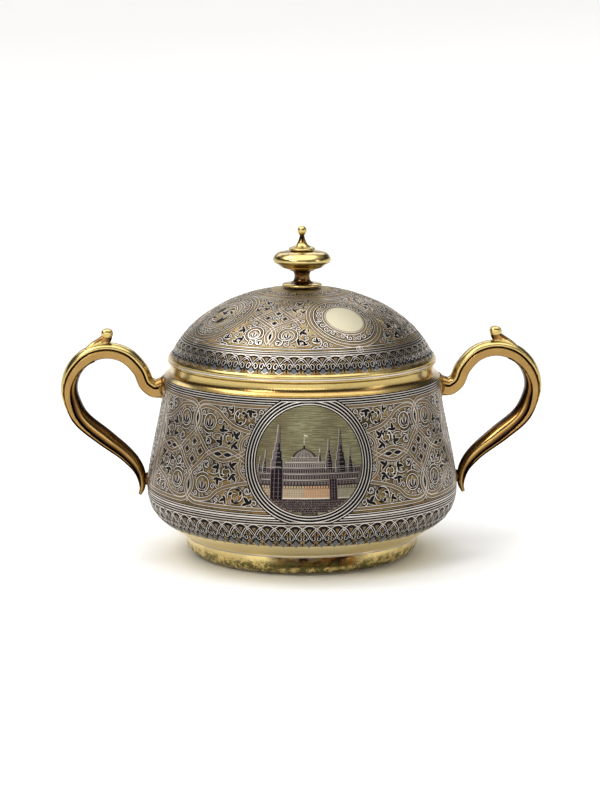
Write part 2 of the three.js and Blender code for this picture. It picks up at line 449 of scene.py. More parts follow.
def foot_material():
    """Gilding of the foot: a painted reflection of the dark room, brown-black and amber, high up at front and
    back, and dark speckles lower down.
    """
    nodes = Nodes("mottled_gilt")
    height = nodes.position("Z", 0, FOOT_TOP)
    across = nodes.position("X", -FOOT_REACH, FOOT_REACH)
    # cloud, upper and middle place the painted reflection high on the foot at front and back.
    cloud = nodes.fade(nodes.noise(45, 5, 0.6, stretch=(1, 1, 2.5)), 0.44, 0.60)
    upper = nodes.fade(height, 0.40, 0.52)
    middle = nodes.ramp(across, [(0.30, BLACK), (0.38, WHITE), (0.62, WHITE), (0.76, BLACK)])
    frayed = nodes.fade(nodes.mix(0.35, middle, cloud), 0.22, 0.7)
    brown = nodes.mix(upper, BLACK, frayed)
    amber = nodes.ramp(nodes.noise(120, 4, 0.6), [(0.46, (0.02, 0.008, 0.004)), (0.64, (0.22, 0.095, 0.02))])
    colour = nodes.mix(brown, (0.76, 0.60, 0.26), amber)
    speckle = nodes.fade(nodes.noise(330, 7, 0.75), 0.45, 0.52)
    grey = [(0.0, 0.2), (0.15, 1.0), (0.6, 0.95), (0.85, 0.0)]
    lower = nodes.ramp(height, [(at, (value, value, value)) for at, value in grey])
    speckle = nodes.mix(lower, BLACK, speckle)
    colour = nodes.mix(nodes.span(speckle, 0, 0.9), colour, (0.09, 0.085, 0.025))
    nodes.bump(nodes.noise(300, 4, 0.6), 0.15, 0.0003)
    return nodes.finish(colour, nodes.span(speckle, 0.14, 0.5))


def ground_material(name, pale, deep):
    """Stippled gilding: tiny punched pits, dull, between the inlaid lines."""
    nodes = Nodes(name)
    pits = nodes.cells(2600)
    patches = nodes.fade(nodes.noise(130, 5, 0.65), 0.38, 0.64)
    colour = nodes.mix(patches, deep, pale)
    warm = nodes.fade(nodes.noise(170, 3, 0.6), 0.54, 0.62)
    colour = nodes.mix(nodes.span(warm, 0, 0.55), colour, (0.32, 0.16, 0.05))
    pit = nodes.fade(pits, 0.12, 0.42)
    colour = nodes.mix(pit, tuple(0.38 * c for c in deep), colour)
    nodes.bump(pits, 0.6, 0.0002)
    return nodes.finish(colour, nodes.span(patches, 0.34, 0.52))


def silver_material():
    """Worn silver, a little pink-grey, brighter where it is rubbed."""
    nodes = Nodes("inlaid_silver")
    rubbed = nodes.noise(140, 5, 0.6)
    colour = nodes.mix(rubbed, (0.39, 0.355, 0.315), (0.87, 0.81, 0.73))
    nodes.bump(nodes.noise(1400, 3, 0.6), 0.15, 0.0001)
    return nodes.finish(colour, nodes.span(rubbed, 0.42, 0.24))


def niello_material():
    """Blue-black niello, satin, with faint grey wear."""
    nodes = Nodes("black_niello")
    wear = nodes.noise(420, 5, 0.65)
    colour = nodes.ramp(wear, [(0.4, (0.001, 0.001, 0.002)), (0.8, (0.012, 0.011, 0.013))])
    nodes.bump(wear, 0.2, 0.0001)
    nodes.shader.inputs["Specular IOR Level"].default_value = 0.08
    return nodes.finish(colour, nodes.span(wear, 0.38, 0.55), metallic=0.0)


def satin_material():
    """Matted gilding of the pictures' sky, lightly hatched across."""
    nodes = Nodes("satin_gilt")
    hatch = nodes.noise(150, 4, 0.6, stretch=(1, 1, 22))
    tone = nodes.fade(nodes.noise(42, 4, 0.55, stretch=(1, 1, 0.4)), 0.38, 0.62)
    colour = nodes.mix(tone, (0.125, 0.095, 0.052), (0.28, 0.27, 0.155))
    dashes = nodes.fade(hatch, 0.44, 0.58)
    colour = nodes.mix(nodes.span(dashes, 0, 0.6), colour, (0.085, 0.07, 0.04))
    nodes.bump(hatch, 0.12, 0.0002)
    return nodes.finish(colour, nodes.span(tone, 0.36, 0.5))


def disc_material():
    """The plain disc: pale, matt, nearly cream."""
    nodes = Nodes("plain_disc")
    tone = nodes.noise(120, 4, 0.6)
    colour = nodes.mix(tone, (0.46, 0.42, 0.29), (0.59, 0.55, 0.42))
    nodes.bump(nodes.noise(900, 3), 0.08, 0.0001)
    return nodes.finish(colour, nodes.span(tone, 0.42, 0.55))


def engraved_material(name, deep, pale):
    """Fine engraving inside the pictures, seen as an even tone with a little grain."""
    nodes = Nodes(name)
    grain = nodes.noise(500, 4, 0.6)
    colour = nodes.mix(grain, deep, pale)
    nodes.bump(grain, 0.15, 0.0001)
    return nodes.finish(colour, nodes.span(grain, 0.35, 0.5))


def bare_material():
    """Turned silver of the hidden stud, washer and nut."""
    nodes = Nodes("bare_silver")
    marks = nodes.noise(300, 3, 0.6, stretch=(1, 1, 9))
    colour = nodes.mix(marks, (0.58, 0.56, 0.53), (0.80, 0.78, 0.75))
    nodes.bump(marks, 0.1, 0.0001)
    return nodes.finish(colour, nodes.span(marks, 0.28, 0.4))


def lining_material():
    """The gilded inside: softly polished, with fine scratches from the spoon."""
    nodes = Nodes("gilt_lining")
    wear = nodes.noise(80, 6, 0.65)
    colour = nodes.mix(wear, (0.72, 0.53, 0.22), (0.90, 0.73, 0.36))
    nodes.bump(nodes.noise(600, 3, stretch=(1, 1, 5)), 0.1, 0.0002)
    return nodes.finish(colour, nodes.span(wear, 0.26, 0.42))


GILT = gilt_material()
HANDLE_GILT = handle_material()
PLAIN_GILT = plain_material()
BROWN_GILT = brown_material()
FOOT_GILT = foot_material()
LINING = lining_material()
# The bowl's ground has darker colours than the cover's and the bands': partly its own darker tone, partly
# painted shade on the upright field.
GROUND = ground_material("stippled_ground", (0.26, 0.19, 0.078), (0.06, 0.042, 0.019))
COVER_GROUND = ground_material("stippled_cover_ground", (0.44, 0.34, 0.16), (0.14, 0.10, 0.048))
BAND_GROUND = ground_material("stippled_band_ground", (0.42, 0.31, 0.14), (0.14, 0.095, 0.045))
SILVER = silver_material()
BARE = bare_material()
SATIN = satin_material()
DISC = disc_material()
INLAY_MATERIALS = {
    "silver": SILVER,
    "niello": niello_material(),
    "core": engraved_material("strap_core", (0.10, 0.07, 0.036), (0.27, 0.19, 0.10)),
    "worn": engraved_material("worn_niello", (0.05, 0.055, 0.06), (0.24, 0.25, 0.26)),
    "grey": engraved_material("engraved_grey", (0.065, 0.05, 0.05), (0.175, 0.14, 0.145)),
    "stone": engraved_material("engraved_stone", (0.17, 0.15, 0.13), (0.36, 0.32, 0.28)),
    "plum": engraved_material("engraved_plum", (0.09, 0.055, 0.06), (0.22, 0.14, 0.15)),
    "bronze": engraved_material("engraved_bronze", (0.04, 0.034, 0.02), (0.09, 0.078, 0.048)),
    "gold": engraved_material("engraved_gold", (0.25, 0.195, 0.12), (0.44, 0.35, 0.235)),
    "amber": engraved_material("engraved_amber", (0.32, 0.19, 0.10), (0.50, 0.32, 0.19)),
    "moss": engraved_material("engraved_moss", (0.20, 0.18, 0.115), (0.36, 0.33, 0.23)),
}
INLAY_SLOTS = {
    **dict.fromkeys(("silver", "core", "grey", "stone", "plum", "bronze"), "niello_silver"),
    **dict.fromkeys(("niello", "worn"), "niello_black"),
    **dict.fromkeys(("gold", "amber", "moss"), "satin_gilt"),
}


# ---------------------------------------------------------------- profiles of the bowl and cover

WALL = 1.4
BODY_STATIONS = [
    (44, 7.7), (48.6, 11), (53, 14), (55.8, 17), (57.4, 20.5), (58.1, 24.5),
    (57.85, 30), (56.5, 38), (54.4, 48), (52.4, 58), (51.5, BODY_TOP),
]
DOME_SPRING = 67.3
DOME_RISE = 32.94
DOME_REACH = 50.82
DOME_EDGE = 48.8
DOME_WALL = 1.2
STUD_HOLE = 1.7


def dome_height(radius):
    return DOME_SPRING + DOME_RISE * (1 - (radius / DOME_REACH) ** 2.163) ** (1 / 1.737)


def dome_profile():
    share = np.linspace(0, 1, 200)
    radius = STUD_HOLE + (DOME_EDGE - STUD_HOLE) * np.cos(share * math.pi / 2) ** 0.9
    return np.vstack([[DOME_EDGE, DOME_FOOT], np.stack([radius[1:], dome_height(radius[1:])], axis=1)])


def inwards(profile, distance):
    """The profile moved inwards; it runs up the outside."""
    ahead = np.gradient(np.asarray(profile, float), axis=0)
    ahead /= np.linalg.norm(ahead, axis=1, keepdims=True)
    return profile + np.stack([-ahead[:, 1], ahead[:, 0]], axis=1) * distance


BODY = Surface(smooth(BODY_STATIONS, 0.1))
DOME = Surface(dome_profile())


def make_body():
    """The bowl with its stippled field and band, the plain gilding under them painted brighter as painted
    light, and the lining.
    """
    gilt, ground, band, lining, plain = range(5)
    wall = smooth(BODY_STATIONS, 0.8)
    bottom = smooth([(0, 8.9), (22, 8.7), (38, 8), (43, 7.75)], 2.0)
    inside = inwards(wall, WALL)
    inside = inside[inside[:, 1] > 14][::-1]
    inside[0] = (wall[-1][0] - WALL, BODY_TOP)
    floor = inwards(np.array(smooth([(0, 8.9), (22, 8.7), (40, 8.8), (49.5, 13.2)], 2.0)), WALL)[::-1]
    floor[-1][0] = 0
    outline = np.vstack([bottom, wall, inside, floor])
    band_top = 23
    plain_top = 13.3
    bands = []
    for i, (_, height) in enumerate(outline):
        outside = len(bottom) <= i < len(bottom) + len(wall) - 1
        if not outside:
            bands.append(gilt if i < len(bottom) else lining)
        elif height < plain_top:
            bands.append(plain)
        else:
            bands.append(band if height < band_top else ground)
    piece = lathe("bowl_body", outline, [GILT, GROUND, BAND_GROUND, LINING, PLAIN_GILT], bands)
    settle(piece, "bowl", "niello_silver", "body_shell")


def make_foot():
    """The rolled foot, and the bead of solder between it and the bowl."""
    inner, underside, widest = 33.6, 35.4, 43.9
    share = np.linspace(0, 1, 26) ** 1.7
    swell = (1 - (1 - share) ** 3) ** (1 / 3)
    outer = np.stack([inner + (widest - inner) * swell, 7.6 * share], axis=1)
    outer = outer[outer[:, 0] > underside + 0.2]
    inside = smooth([(42.5, 7.6), (42.1, 3.6), (40.6, 2.2), (37.5, 1.4), (inner, 1.3)], 0.8)
    outline = np.vstack([[(inner, 0.2), (inner + 0.2, 0), (underside, 0)], outer, inside])
    settle(lathe("foot", outline, [FOOT_GILT]), "bowl", "gilt_silver", "foot_ring")
    bead = [(43.4, 7.45), (44.35, 7.5), (44.65, 7.9), (44.45, 8.3), (43.9, 8.4)]
    settle(lathe("foot_seam", bead, [SILVER]), "bowl", "niello_silver")


def make_neck():
    """The cove between the bowl and its cover, with a painted reflection of the dark cover rim as a darker
    line round its middle.
    """
    cove = smooth([(51.5, NECK_FOOT), (50.6, 68.1), (49.8, 68.9), (49.35, 70.1), (49.2, NECK_TOP)], 0.25)
    outline = np.vstack([cove, [(47.8, NECK_TOP), (47.6, NECK_TOP - 0.2), (47.6, NECK_FOOT)]])
    piece = lathe("neck", outline, [HANDLE_GILT])
    # Painted reflection: the cover rim's dark reflection in the cove, as darkness at each height.
    tone = [(67.3, 0.18), (68.2, 0.1), (69.2, 0.4), (69.9, 0.12), (71, 0.02)]
    darken(piece, blend(tone, heights_of(piece)))
    settle(piece, "bowl", "gilt_silver", "neck_ring")


def make_rim():
    """The cover's moulded edge, with a silver line let into it."""
    stations = [
        (49.5, RIM_FOOT), (50.0, 72.7), (50.0, 73.1), (49.65, 73.45),
        (49.95, 74.0), (49.85, 74.5), (49.3, RIM_TOP),
    ]
    outline = np.vstack([smooth(stations, 0.15), [(47.5, RIM_TOP), (47.5, RIM_FOOT)]])
    settle(lathe("cover_rim", outline, [GILT]), "lid", "gilt_silver", "lid_rim")
    line = [(49.6, 73.15), (50.0, 73.2), (50.0, 73.62), (49.6, 73.7)]
    settle(lathe("cover_rim_line", line, [SILVER]), "lid", "niello_silver")


def make_bezel():
    """The flange that drops inside the neck."""
    outer = [(46.8, 64), (47.1, 64.3), (47.2, 65), (47.2, RIM_TOP)]
    outline = outer + [(46.2, RIM_TOP), (46.2, 64.4), (46.4, 64)]
    settle(lathe("cover_bezel", outline, [GILT]), "lid", "gilt_silver", "lid_bezel")


def make_dome():
    ground, band, lining = range(3)
    outer = spaced(dome_profile(), 0.7)
    inner = inwards(outer, DOME_WALL)[::-1]
    inner[0] = (STUD_HOLE, dome_height(0) - DOME_WALL)
    inner[-1] = (DOME_EDGE - DOME_WALL, DOME_FOOT)
    band_top = 81.3
    bands = [band if z < band_top else ground for _, z in outer[:-1]] + [lining] * (len(inner) + 1)
    piece = lathe("cover_dome", np.vstack([outer, inner]), [COVER_GROUND, BAND_GROUND, LINING], bands)
    settle(piece, "lid", "niello_silver", "lid_dome")


# ---------------------------------------------------------------- finial


def bored(name, outside, node, material=GILT):
    """A turned piece of the finial with the stud's hole through it."""
    low, high = outside[0][1], outside[-1][1]
    outline = np.vstack([outside, [(STUD_HOLE, high), (STUD_HOLE, low)]])
    settle(lathe(name, outline, [material], steps=SMALL_LATHE_STEPS), "lid", "gilt_silver", node)


def make_finial():
    """The disc, waist, two halves of the bun and small cap; the spire stands on them."""
    collar = [(6.2, COLLAR_FOOT), (7.1, 100.6), (7.4, 101.0), (7.2, 101.5), (6.2, 101.8)]
    stem = [(4.2, 101.9), (3.3, 102.6), (2.9, 103.7), (2.9, 105), (3.4, 106), (4.7, 106.55), (4.4, 106.7)]
    lower = [(5.2, 106.8), (7.7, 107.7), (8.2, 108.1), (9.1, 108.7), (10.5, 109.6)]
    upper = [
        (10.5, 109.7), (10.8, 110.3), (10.8, 110.9), (10.5, 111.6), (9.6, 112.6), (8.2, 113.3), (5.4, 113.8),
    ]
    cap = [(3.7, 113.9), (4.7, 114.1), (4.95, 114.45), (4.7, 114.85), (3.9, 115.2)]
    bored("finial_disc", smooth(collar, 0.15), "finial_collar")
    bored("finial_waist", smooth(stem, 0.2), "finial_stem", BROWN_GILT)
    bored("finial_lower_bun", smooth(lower, 0.25), "finial_bun_lower")
    bored("finial_upper_bun", smooth(upper, 0.25), "finial_bun_upper")
    bored("finial_small_cap", smooth(cap, 0.12), "finial_cap")
    make_spire()


def make_spire():
    """A hollow-sided spire with a ball on top, darker just under the ball."""
    ball_radius = 1.75
    ball_centre = FINIAL_TOP - ball_radius
    spire = smooth([(3.3, 115.3), (2.3, 116), (1.6, 117), (1.15, 118.2), (0.85, 119.4)], 0.2)
    angle = np.linspace(-1.02, math.pi / 2, 22)
    ball = np.stack([ball_radius * np.cos(angle), ball_centre + ball_radius * np.sin(angle)], axis=1)
    ball[-1] = (0, FINIAL_TOP)
    outline = np.vstack([[(0, 115.3)], spire, ball[1:]])
    piece = lathe("finial_top_spire", outline, [HANDLE_GILT], steps=SMALL_LATHE_STEPS, sharp=60)
    darken(piece, blend([(116.4, 0), (117.6, 0.5), (118.8, 1), (119.7, 1), (120.2, 0)], heights_of(piece)))
    settle(piece, "lid", "gilt_silver", "finial_spire")


def make_fastener():
    """The threaded rod, washer and nut that hold the finial, out of sight in the cover."""
    rod = [(0, 94.8), (1.1, 94.8), (1.4, 95.1)]
    pitch = 0.5
    for turn in range(6):
        height = 95.2 + turn * pitch
        rod += [(1.4, height), (1.2, height + pitch / 2)]
    rod += [(1.4, 98.4), (1.4, 114.8), (1.2, 115.0), (0, 115.0)]
    piece = lathe("finial_rod", rod, [BARE], steps=64, sharp=30)
    settle(piece, "lid", "bare_silver", "finial_stud")
    washer = [(STUD_HOLE, 97.9), (4.8, 97.9), (5, 98.05), (5, 98.4), (4.9, 98.5), (STUD_HOLE, 98.5)]
    piece = lathe("finial_washer_disc", washer, [BARE], steps=64, sharp=30)
    settle(piece, "lid", "bare_silver", "finial_washer")
    make_nut()


def make_nut():
    """A hexagon with its corners turned off at both ends."""
    steps = 96
    angle = np.linspace(0, TAU, steps, endpoint=False)
    flat = 3.4 * math.cos(math.pi / 6)
    hexagon = flat / np.cos((angle + math.pi / 6) % (math.pi / 3) - math.pi / 6)
    rows = [(1.7, 95.9, 0), (3.0, 95.9, 0), (0, 96.2, 1), (0, 97.5, 1), (3.0, 97.8, 0), (1.7, 97.8, 0)]
    points = []
    for radius, height, shaped in rows:
        ring = hexagon if shaped else np.full(steps, radius)
        points.append(np.stack([ring * np.cos(angle), ring * np.sin(angle), np.full(steps, height)], axis=1))
    faces = []
    for i in range(len(rows)):
        j = (i + 1) % len(rows)
        for k in range(steps):
            m = (k + 1) % steps
            faces.append([i * steps + k, i * steps + m, j * steps + m, j * steps + k])
    piece = make_piece("finial_hex_nut", np.vstack(points), faces, [BARE], sharp=25)
    settle(piece, "lid", "bare_silver", "finial_nut")


# ---------------------------------------------------------------- handles

BOW_CENTRE = (72.7, 62.8)
BOW_RADIUS = 14.1
HANDLE_DEPTH = 7.6
HANDLE_STEP = 120 / 190
SPUR_SIDES = 28
# How dark the handle's flat face is: partly patina, partly painted shade.
FACE_PATINA_AND_SHADE = 0.34
# Stations along the handle, from 0 at the bowl to 1 at the tail's tip.
HANDLE_WIDTH = [
    (0, 7.6), (0.03, 6.8), (0.08, 6.1), (0.3, 6), (0.5, 6.5), (0.72, 6.4), (0.86, 5.0), (0.94, 3.3), (1, 1.3),
]
HANDLE_ROLL = [(0, -0.5), (0.32, -0.5), (0.42, -0.28), (0.50, -0.1), (0.58, 0.12), (0.68, 0.26), (1, 0.3)]
# Painted shade along the handle's inner edge, which faces the bowl, at stations along the handle.
INNER_SHADE = [
    (0, 0.3), (0.1, 0.6), (0.26, 0.7), (0.34, 1), (0.62, 1), (0.72, 0.7), (0.84, 0.8), (1, 0.8),
]


def handle_line():
    """The handle's middle line from the bowl over the bow to the tail's tip, as (distance out, height)."""
    root = [(52.0, 62.9), (54.6, 62.4), (56.1, 62.9), (58.3, 64.9)]
    angle = np.radians(np.arange(150, -31, -30))
    bow = np.array(BOW_CENTRE) + BOW_RADIUS * np.stack([np.cos(angle), np.sin(angle)], axis=1)
    tail = [(81.4, 50.4), (74.2, 44.5), (66.7, 38.5), (62.3, 33.6), (60.3, 29.2), (60.0, 25), (60.9, 22.2)]
    return spaced(smooth(np.vstack([root, bow, tail]), 0.1), HANDLE_STEP)


def blend(stations, share):
    """The value at each share, between stations of (share, value)."""
    at, values = zip(*stations)
    return np.interp(share, at, values)


def section(width, depth, bead_from, groove, roll_to, roll_groove):
    """Half of the handle's section, from its inner edge to its outer one, as (outwards, sideways)."""
    u = np.sort(np.concatenate([
        -0.5 + 0.12 * np.linspace(0, 1, 7) ** 2,
        np.linspace(-0.38, 0.38, 20),
        0.5 - 0.12 * np.linspace(0, 1, 7) ** 2,
        [bead_from - 0.012, bead_from, bead_from + 0.012, roll_to - 0.012, roll_to, roll_to + 0.012],
    ]))
    u = np.clip(u, -0.5, 0.5)
    round_off = 0.16
    groove_width = 0.22
    inner = np.clip((u + 0.5) / round_off, 0, 1)
    outer = np.clip((0.5 - u) / round_off, 0, 1)
    v = 0.46 * (np.sqrt(1 - (1 - inner) ** 2) ** 0.7 * np.sqrt(1 - (1 - outer) ** 2) ** 0.7)
    bead = np.clip((u - bead_from) / max(0.5 - bead_from, 0.02), 0, 1)
    on_bead = (u >= bead_from) & (bead_from < 0.48)
    bulge = 0.5 * np.sqrt(np.clip(1 - ((bead - 0.3) / 0.7) ** 2, 0, 1))
    v = np.where(on_bead, bulge, v)
    roll = np.clip((u + 0.5) / max(roll_to + 0.5, 0.02), 0, 1)
    on_roll = (u <= roll_to) & (roll_to > -0.48)
    turned = 0.5 * np.sqrt(np.clip(1 - ((0.7 - roll) / 0.7) ** 2, 0, 1))
    turned *= 1 - 0.25 * (roll > 0.7) * (roll - 0.7)
    v = np.where(on_roll, turned, v)
    v -= groove * np.exp(-(((u - bead_from) * width / groove_width) ** 2))
    v -= roll_groove * np.exp(-(((u - roll_to) * width / groove_width) ** 2))
    return u * width, np.maximum(v, 0) * depth


def section_patina_and_shade(across, width, bead, groove, roll, roll_groove):
    """How dark a section is in its two grooves, beside the roll and on its flat face: patina and painted
    shade in the grooves and on the face, painted shade in a band beside the roll.
    """
    in_groove = groove / 0.09 * np.exp(-(((across - bead) * width / 0.3) ** 2))
    in_roll_groove = roll_groove / 0.1 * np.exp(-(((across - roll) * width / 0.35) ** 2))
    beside_roll = roll_groove / 0.1 * np.clip(1.4 - (roll - across) / 0.26, 0, 1) * (across < roll)
    on_face = FACE_PATINA_AND_SHADE * (across < bead)
    return np.max([in_groove, in_roll_groove, beside_roll, on_face], axis=0)


def make_scroll(side, sign):
    """The cast strip of the handle, its section changing from the bow to the tail."""
    line = handle_line()
    share = np.linspace(0, 1, len(line))
    ahead = np.gradient(line, axis=0)
    ahead /= np.linalg.norm(ahead, axis=1, keepdims=True)
    outwards = np.stack([-ahead[:, 1], ahead[:, 0]], axis=1)
    width = blend(HANDLE_WIDTH, share)
    depth = HANDLE_DEPTH * blend([(0, 1), (0.76, 1), (0.9, 0.72), (1, 0.42)], share)
    bead = blend([(0, 0.08), (0.40, 0.12), (0.50, 0.30), (0.60, 0.47), (1, 0.47)], share)
    groove = blend([(0, 0.09), (0.42, 0.09), (0.54, 0.02), (0.60, 0), (1, 0)], share)
    roll = blend(HANDLE_ROLL, share)
    roll_groove = blend([(0, 0), (0.44, 0), (0.54, 0.1), (0.92, 0.1), (1, 0)], share)
    inner_shade = blend(INNER_SHADE, share)
    # Darker near the root and the tail, where the handle comes close to the bowl: patina and painted shade.
    tone = blend([(0, 0.42), (0.04, 0.25), (0.09, 0.12), (0.15, 0), (0.78, 0), (0.9, 0.4), (1, 0.2)], share)
    points = []
    patina_and_shade = []
    for i, (place, away) in enumerate(zip(line, outwards)):
        u, v = section(width[i], depth[i], bead[i], groove[i], roll[i], roll_groove[i])
        across = u / width[i]
        dark = section_patina_and_shade(across, width[i], bead[i], groove[i], roll[i], roll_groove[i])
        # The inner edge, facing the bowl, gets painted shade.
        reach = max(min(roll[i], -0.06) + 0.5, 0.16)
        dark = np.maximum(dark, inner_shade[i] * np.clip(1.3 - 1.3 * (across + 0.5) / reach, 0, 1))
        dark = np.maximum(dark, tone[i])
        patina_and_shade.append(np.concatenate([dark, dark[-2:0:-1]]))
        ring_u = np.concatenate([u, u[-2:0:-1]])
        ring_v = np.concatenate([v, -v[-2:0:-1]])
        x = place[0] + away[0] * ring_u
        z = place[1] + away[1] * ring_u
        points.append(np.stack([sign * x, sign * ring_v, z], axis=1))
    faces = tube_faces(len(line), len(points[0]))
    piece = make_piece(f"{side}_handle", np.vstack(points), faces, [HANDLE_GILT], sharp=48)
    darken(piece, np.concatenate(patina_and_shade))
    settle(piece, "bowl", "gilt_silver", f"{side}_handle_scroll")


def darken(piece, patina_and_shade):
    """Gives every point of a piece its share of patina and painted shade, from 0 to 1."""
    layer = piece.data.attributes.new("patina_and_shade", "FLOAT", "POINT")
    layer.data.foreach_set("value", np.asarray(patina_and_shade, np.float32))


def heights_of(piece):
    """The height of every point of a piece, in millimetres."""
    return [vertex.co.z / MM for vertex in piece.data.vertices]


def knob_points():
    """The rolled tip, as rings of an egg from one side of the handle to the other."""
    centre_x, centre_z, half_wide, half_tall, half_across = 72.45, 83.25, 2.3, 1.8, 2.65
    angle = np.linspace(0, TAU, SPUR_SIDES, endpoint=False)
    across = np.sign(np.cos(angle)) * np.abs(np.cos(angle)) ** 0.8
    rings = []
    for y in half_across * np.sin(np.linspace(-1.45, 1.45, 15)):
        size = (1 - (abs(y) / half_across) ** 5) ** 0.4
        x = centre_x + half_wide * size * across
        z = centre_z + half_tall * size * np.sin(angle)
        rings.append(np.stack([x, np.full(SPUR_SIDES, y), z], axis=1))
    return rings


def rise_points():
    """The strip of metal that rises off the bow, as rings along its way into the knob."""
    line = smooth([(81.0, 76.9), (78.4, 78.6), (75.9, 79.7), (73.9, 80.5), (72.7, 81.5), (72.45, 82.8)], 0.2)
    share = np.linspace(0, 1, len(line))
    thick = blend([(0, 0.8), (0.2, 1.8), (0.5, 2.9), (0.7, 3.9), (0.85, 4.0), (1, 3.9)], share)
    across = blend([(0, 6.0), (0.4, 5.6), (0.7, 4.6), (1, 4.2)], share)
    ahead = np.gradient(line, axis=0)
    ahead /= np.linalg.norm(ahead, axis=1, keepdims=True)
    angle = np.linspace(0, TAU, SPUR_SIDES, endpoint=False)
    power = 0.55
    flat_u = np.sign(np.cos(angle)) * np.abs(np.cos(angle)) ** power
    flat_v = np.sign(np.sin(angle)) * np.abs(np.sin(angle)) ** power
    rings = []
    for place, (ahead_x, ahead_z), half, wide in zip(line, ahead, thick / 2, across / 2):
        x = place[0] - ahead_z * flat_u * half
        z = place[1] + ahead_x * flat_u * half
        rings.append(np.stack([x, flat_v * wide, z], axis=1))
    return rings


def tube_faces(rings, sides, first=0):
    """Joins rings of points into a closed tube with flat ends."""
    index = first + np.arange(rings * sides).reshape(rings, sides)
    here, there = index[:-1], index[1:]
    quads = np.stack([here, there, np.roll(there, -1, axis=1), np.roll(here, -1, axis=1)], axis=2)
    return [*quads.reshape(-1, 4).tolist(), index[0].tolist(), index[-1][::-1].tolist()]


def make_spur(side, sign):
    """The thumb rest: metal rises off the bow and ends in a rolled knob."""
    rise, knob = rise_points(), knob_points()
    points = np.vstack([*rise, *knob]) * (sign, sign, 1)
    faces = tube_faces(len(rise), SPUR_SIDES) + tube_faces(len(knob), SPUR_SIDES, len(rise) * SPUR_SIDES)
    piece = make_piece(f"{side}_thumb_scroll", points, faces, [HANDLE_GILT], sharp=60)
    # Painted shade on the rise just under the knob, darker on its side towards the bowl.
    height = points[:, 2]
    in_neck = (height > 80.2) & (np.arange(len(points)) < len(rise) * SPUR_SIDES)
    inner_side = np.clip((73.2 - np.abs(points[:, 0])) / 2, 0, 1)
    darken(piece, in_neck * (0.45 + 0.5 * inner_side))
    settle(piece, "bowl", "gilt_silver", f"{side}_handle_spur")


def make_joint(name, outline, height, patina_and_shade, sign, node):
    """A stub turned about the level line at a height, from an outline of (radius, distance out)."""
    outline = np.array(outline, float) * (1, sign)
    piece = lathe(name, outline[::sign], [HANDLE_GILT], steps=64, axis="X", shift=(0, 0, height))
    darken(piece, np.full(len(piece.data.vertices), patina_and_shade))
    settle(piece, "bowl", "gilt_silver", node)


def make_handle(side, sign):
    make_scroll(side, sign)
    make_spur(side, sign)
    flare = smooth([(5.2, 51.3), (4.8, 52.0), (4.1, 52.7), (3.4, 53.4), (2.6, 54.2)], 0.15)
    root = np.vstack([[(0, 51.3)], flare, [(0, 54.2)]])
    # The root and the solder pad get a flat share of patina and painted shade, where they meet the bowl.
    make_joint(f"{side}_handle_root", root, 62.6, 0.4, sign, f"{side}_handle_collar")
    pad = [(0, 57.0), (2.6, 57.0), (2.5, 58.3), (2.0, 58.9), (1.5, 59.4), (0, 59.4)]
    make_joint(f"{side}_handle_solder", pad, 28, 0.8, sign, f"{side}_handle_pad")


# ---------------------------------------------------------------- drawings


def sweep(base, heading, bend, length, step=0.35):
    """A stroke from base that starts along heading and turns by bend, in degrees."""
    count = max(5, int(length / step) + 1)
    angle = np.radians(heading + bend * np.linspace(0, 1, count))
    moves = np.stack([np.cos(angle), np.sin(angle)], axis=1) * length / (count - 1)
    return np.array(base) + np.vstack([[0, 0], np.cumsum(moves[:-1], axis=0)])


def lens(centre, half_length, half_width, tilt=0.0, count=9):
    """The closed outline of a pointed oval, from tip to tip and back."""
    share = np.linspace(-1, 1, count)
    top = np.stack([share * half_length, half_width * (1 - share**2)], axis=1)
    outline = np.vstack([top, (top * (1, -1))[-2:0:-1]])
    return np.array(centre) + outline @ turned_by(tilt).T


def turned_by(degrees):
    angle = math.radians(degrees)
    return np.array([[math.cos(angle), -math.sin(angle)], [math.sin(angle), math.cos(angle)]])


def circle(centre, radius, step=STEP):
    return arc(centre, radius, 0, 360, step)[:-1]


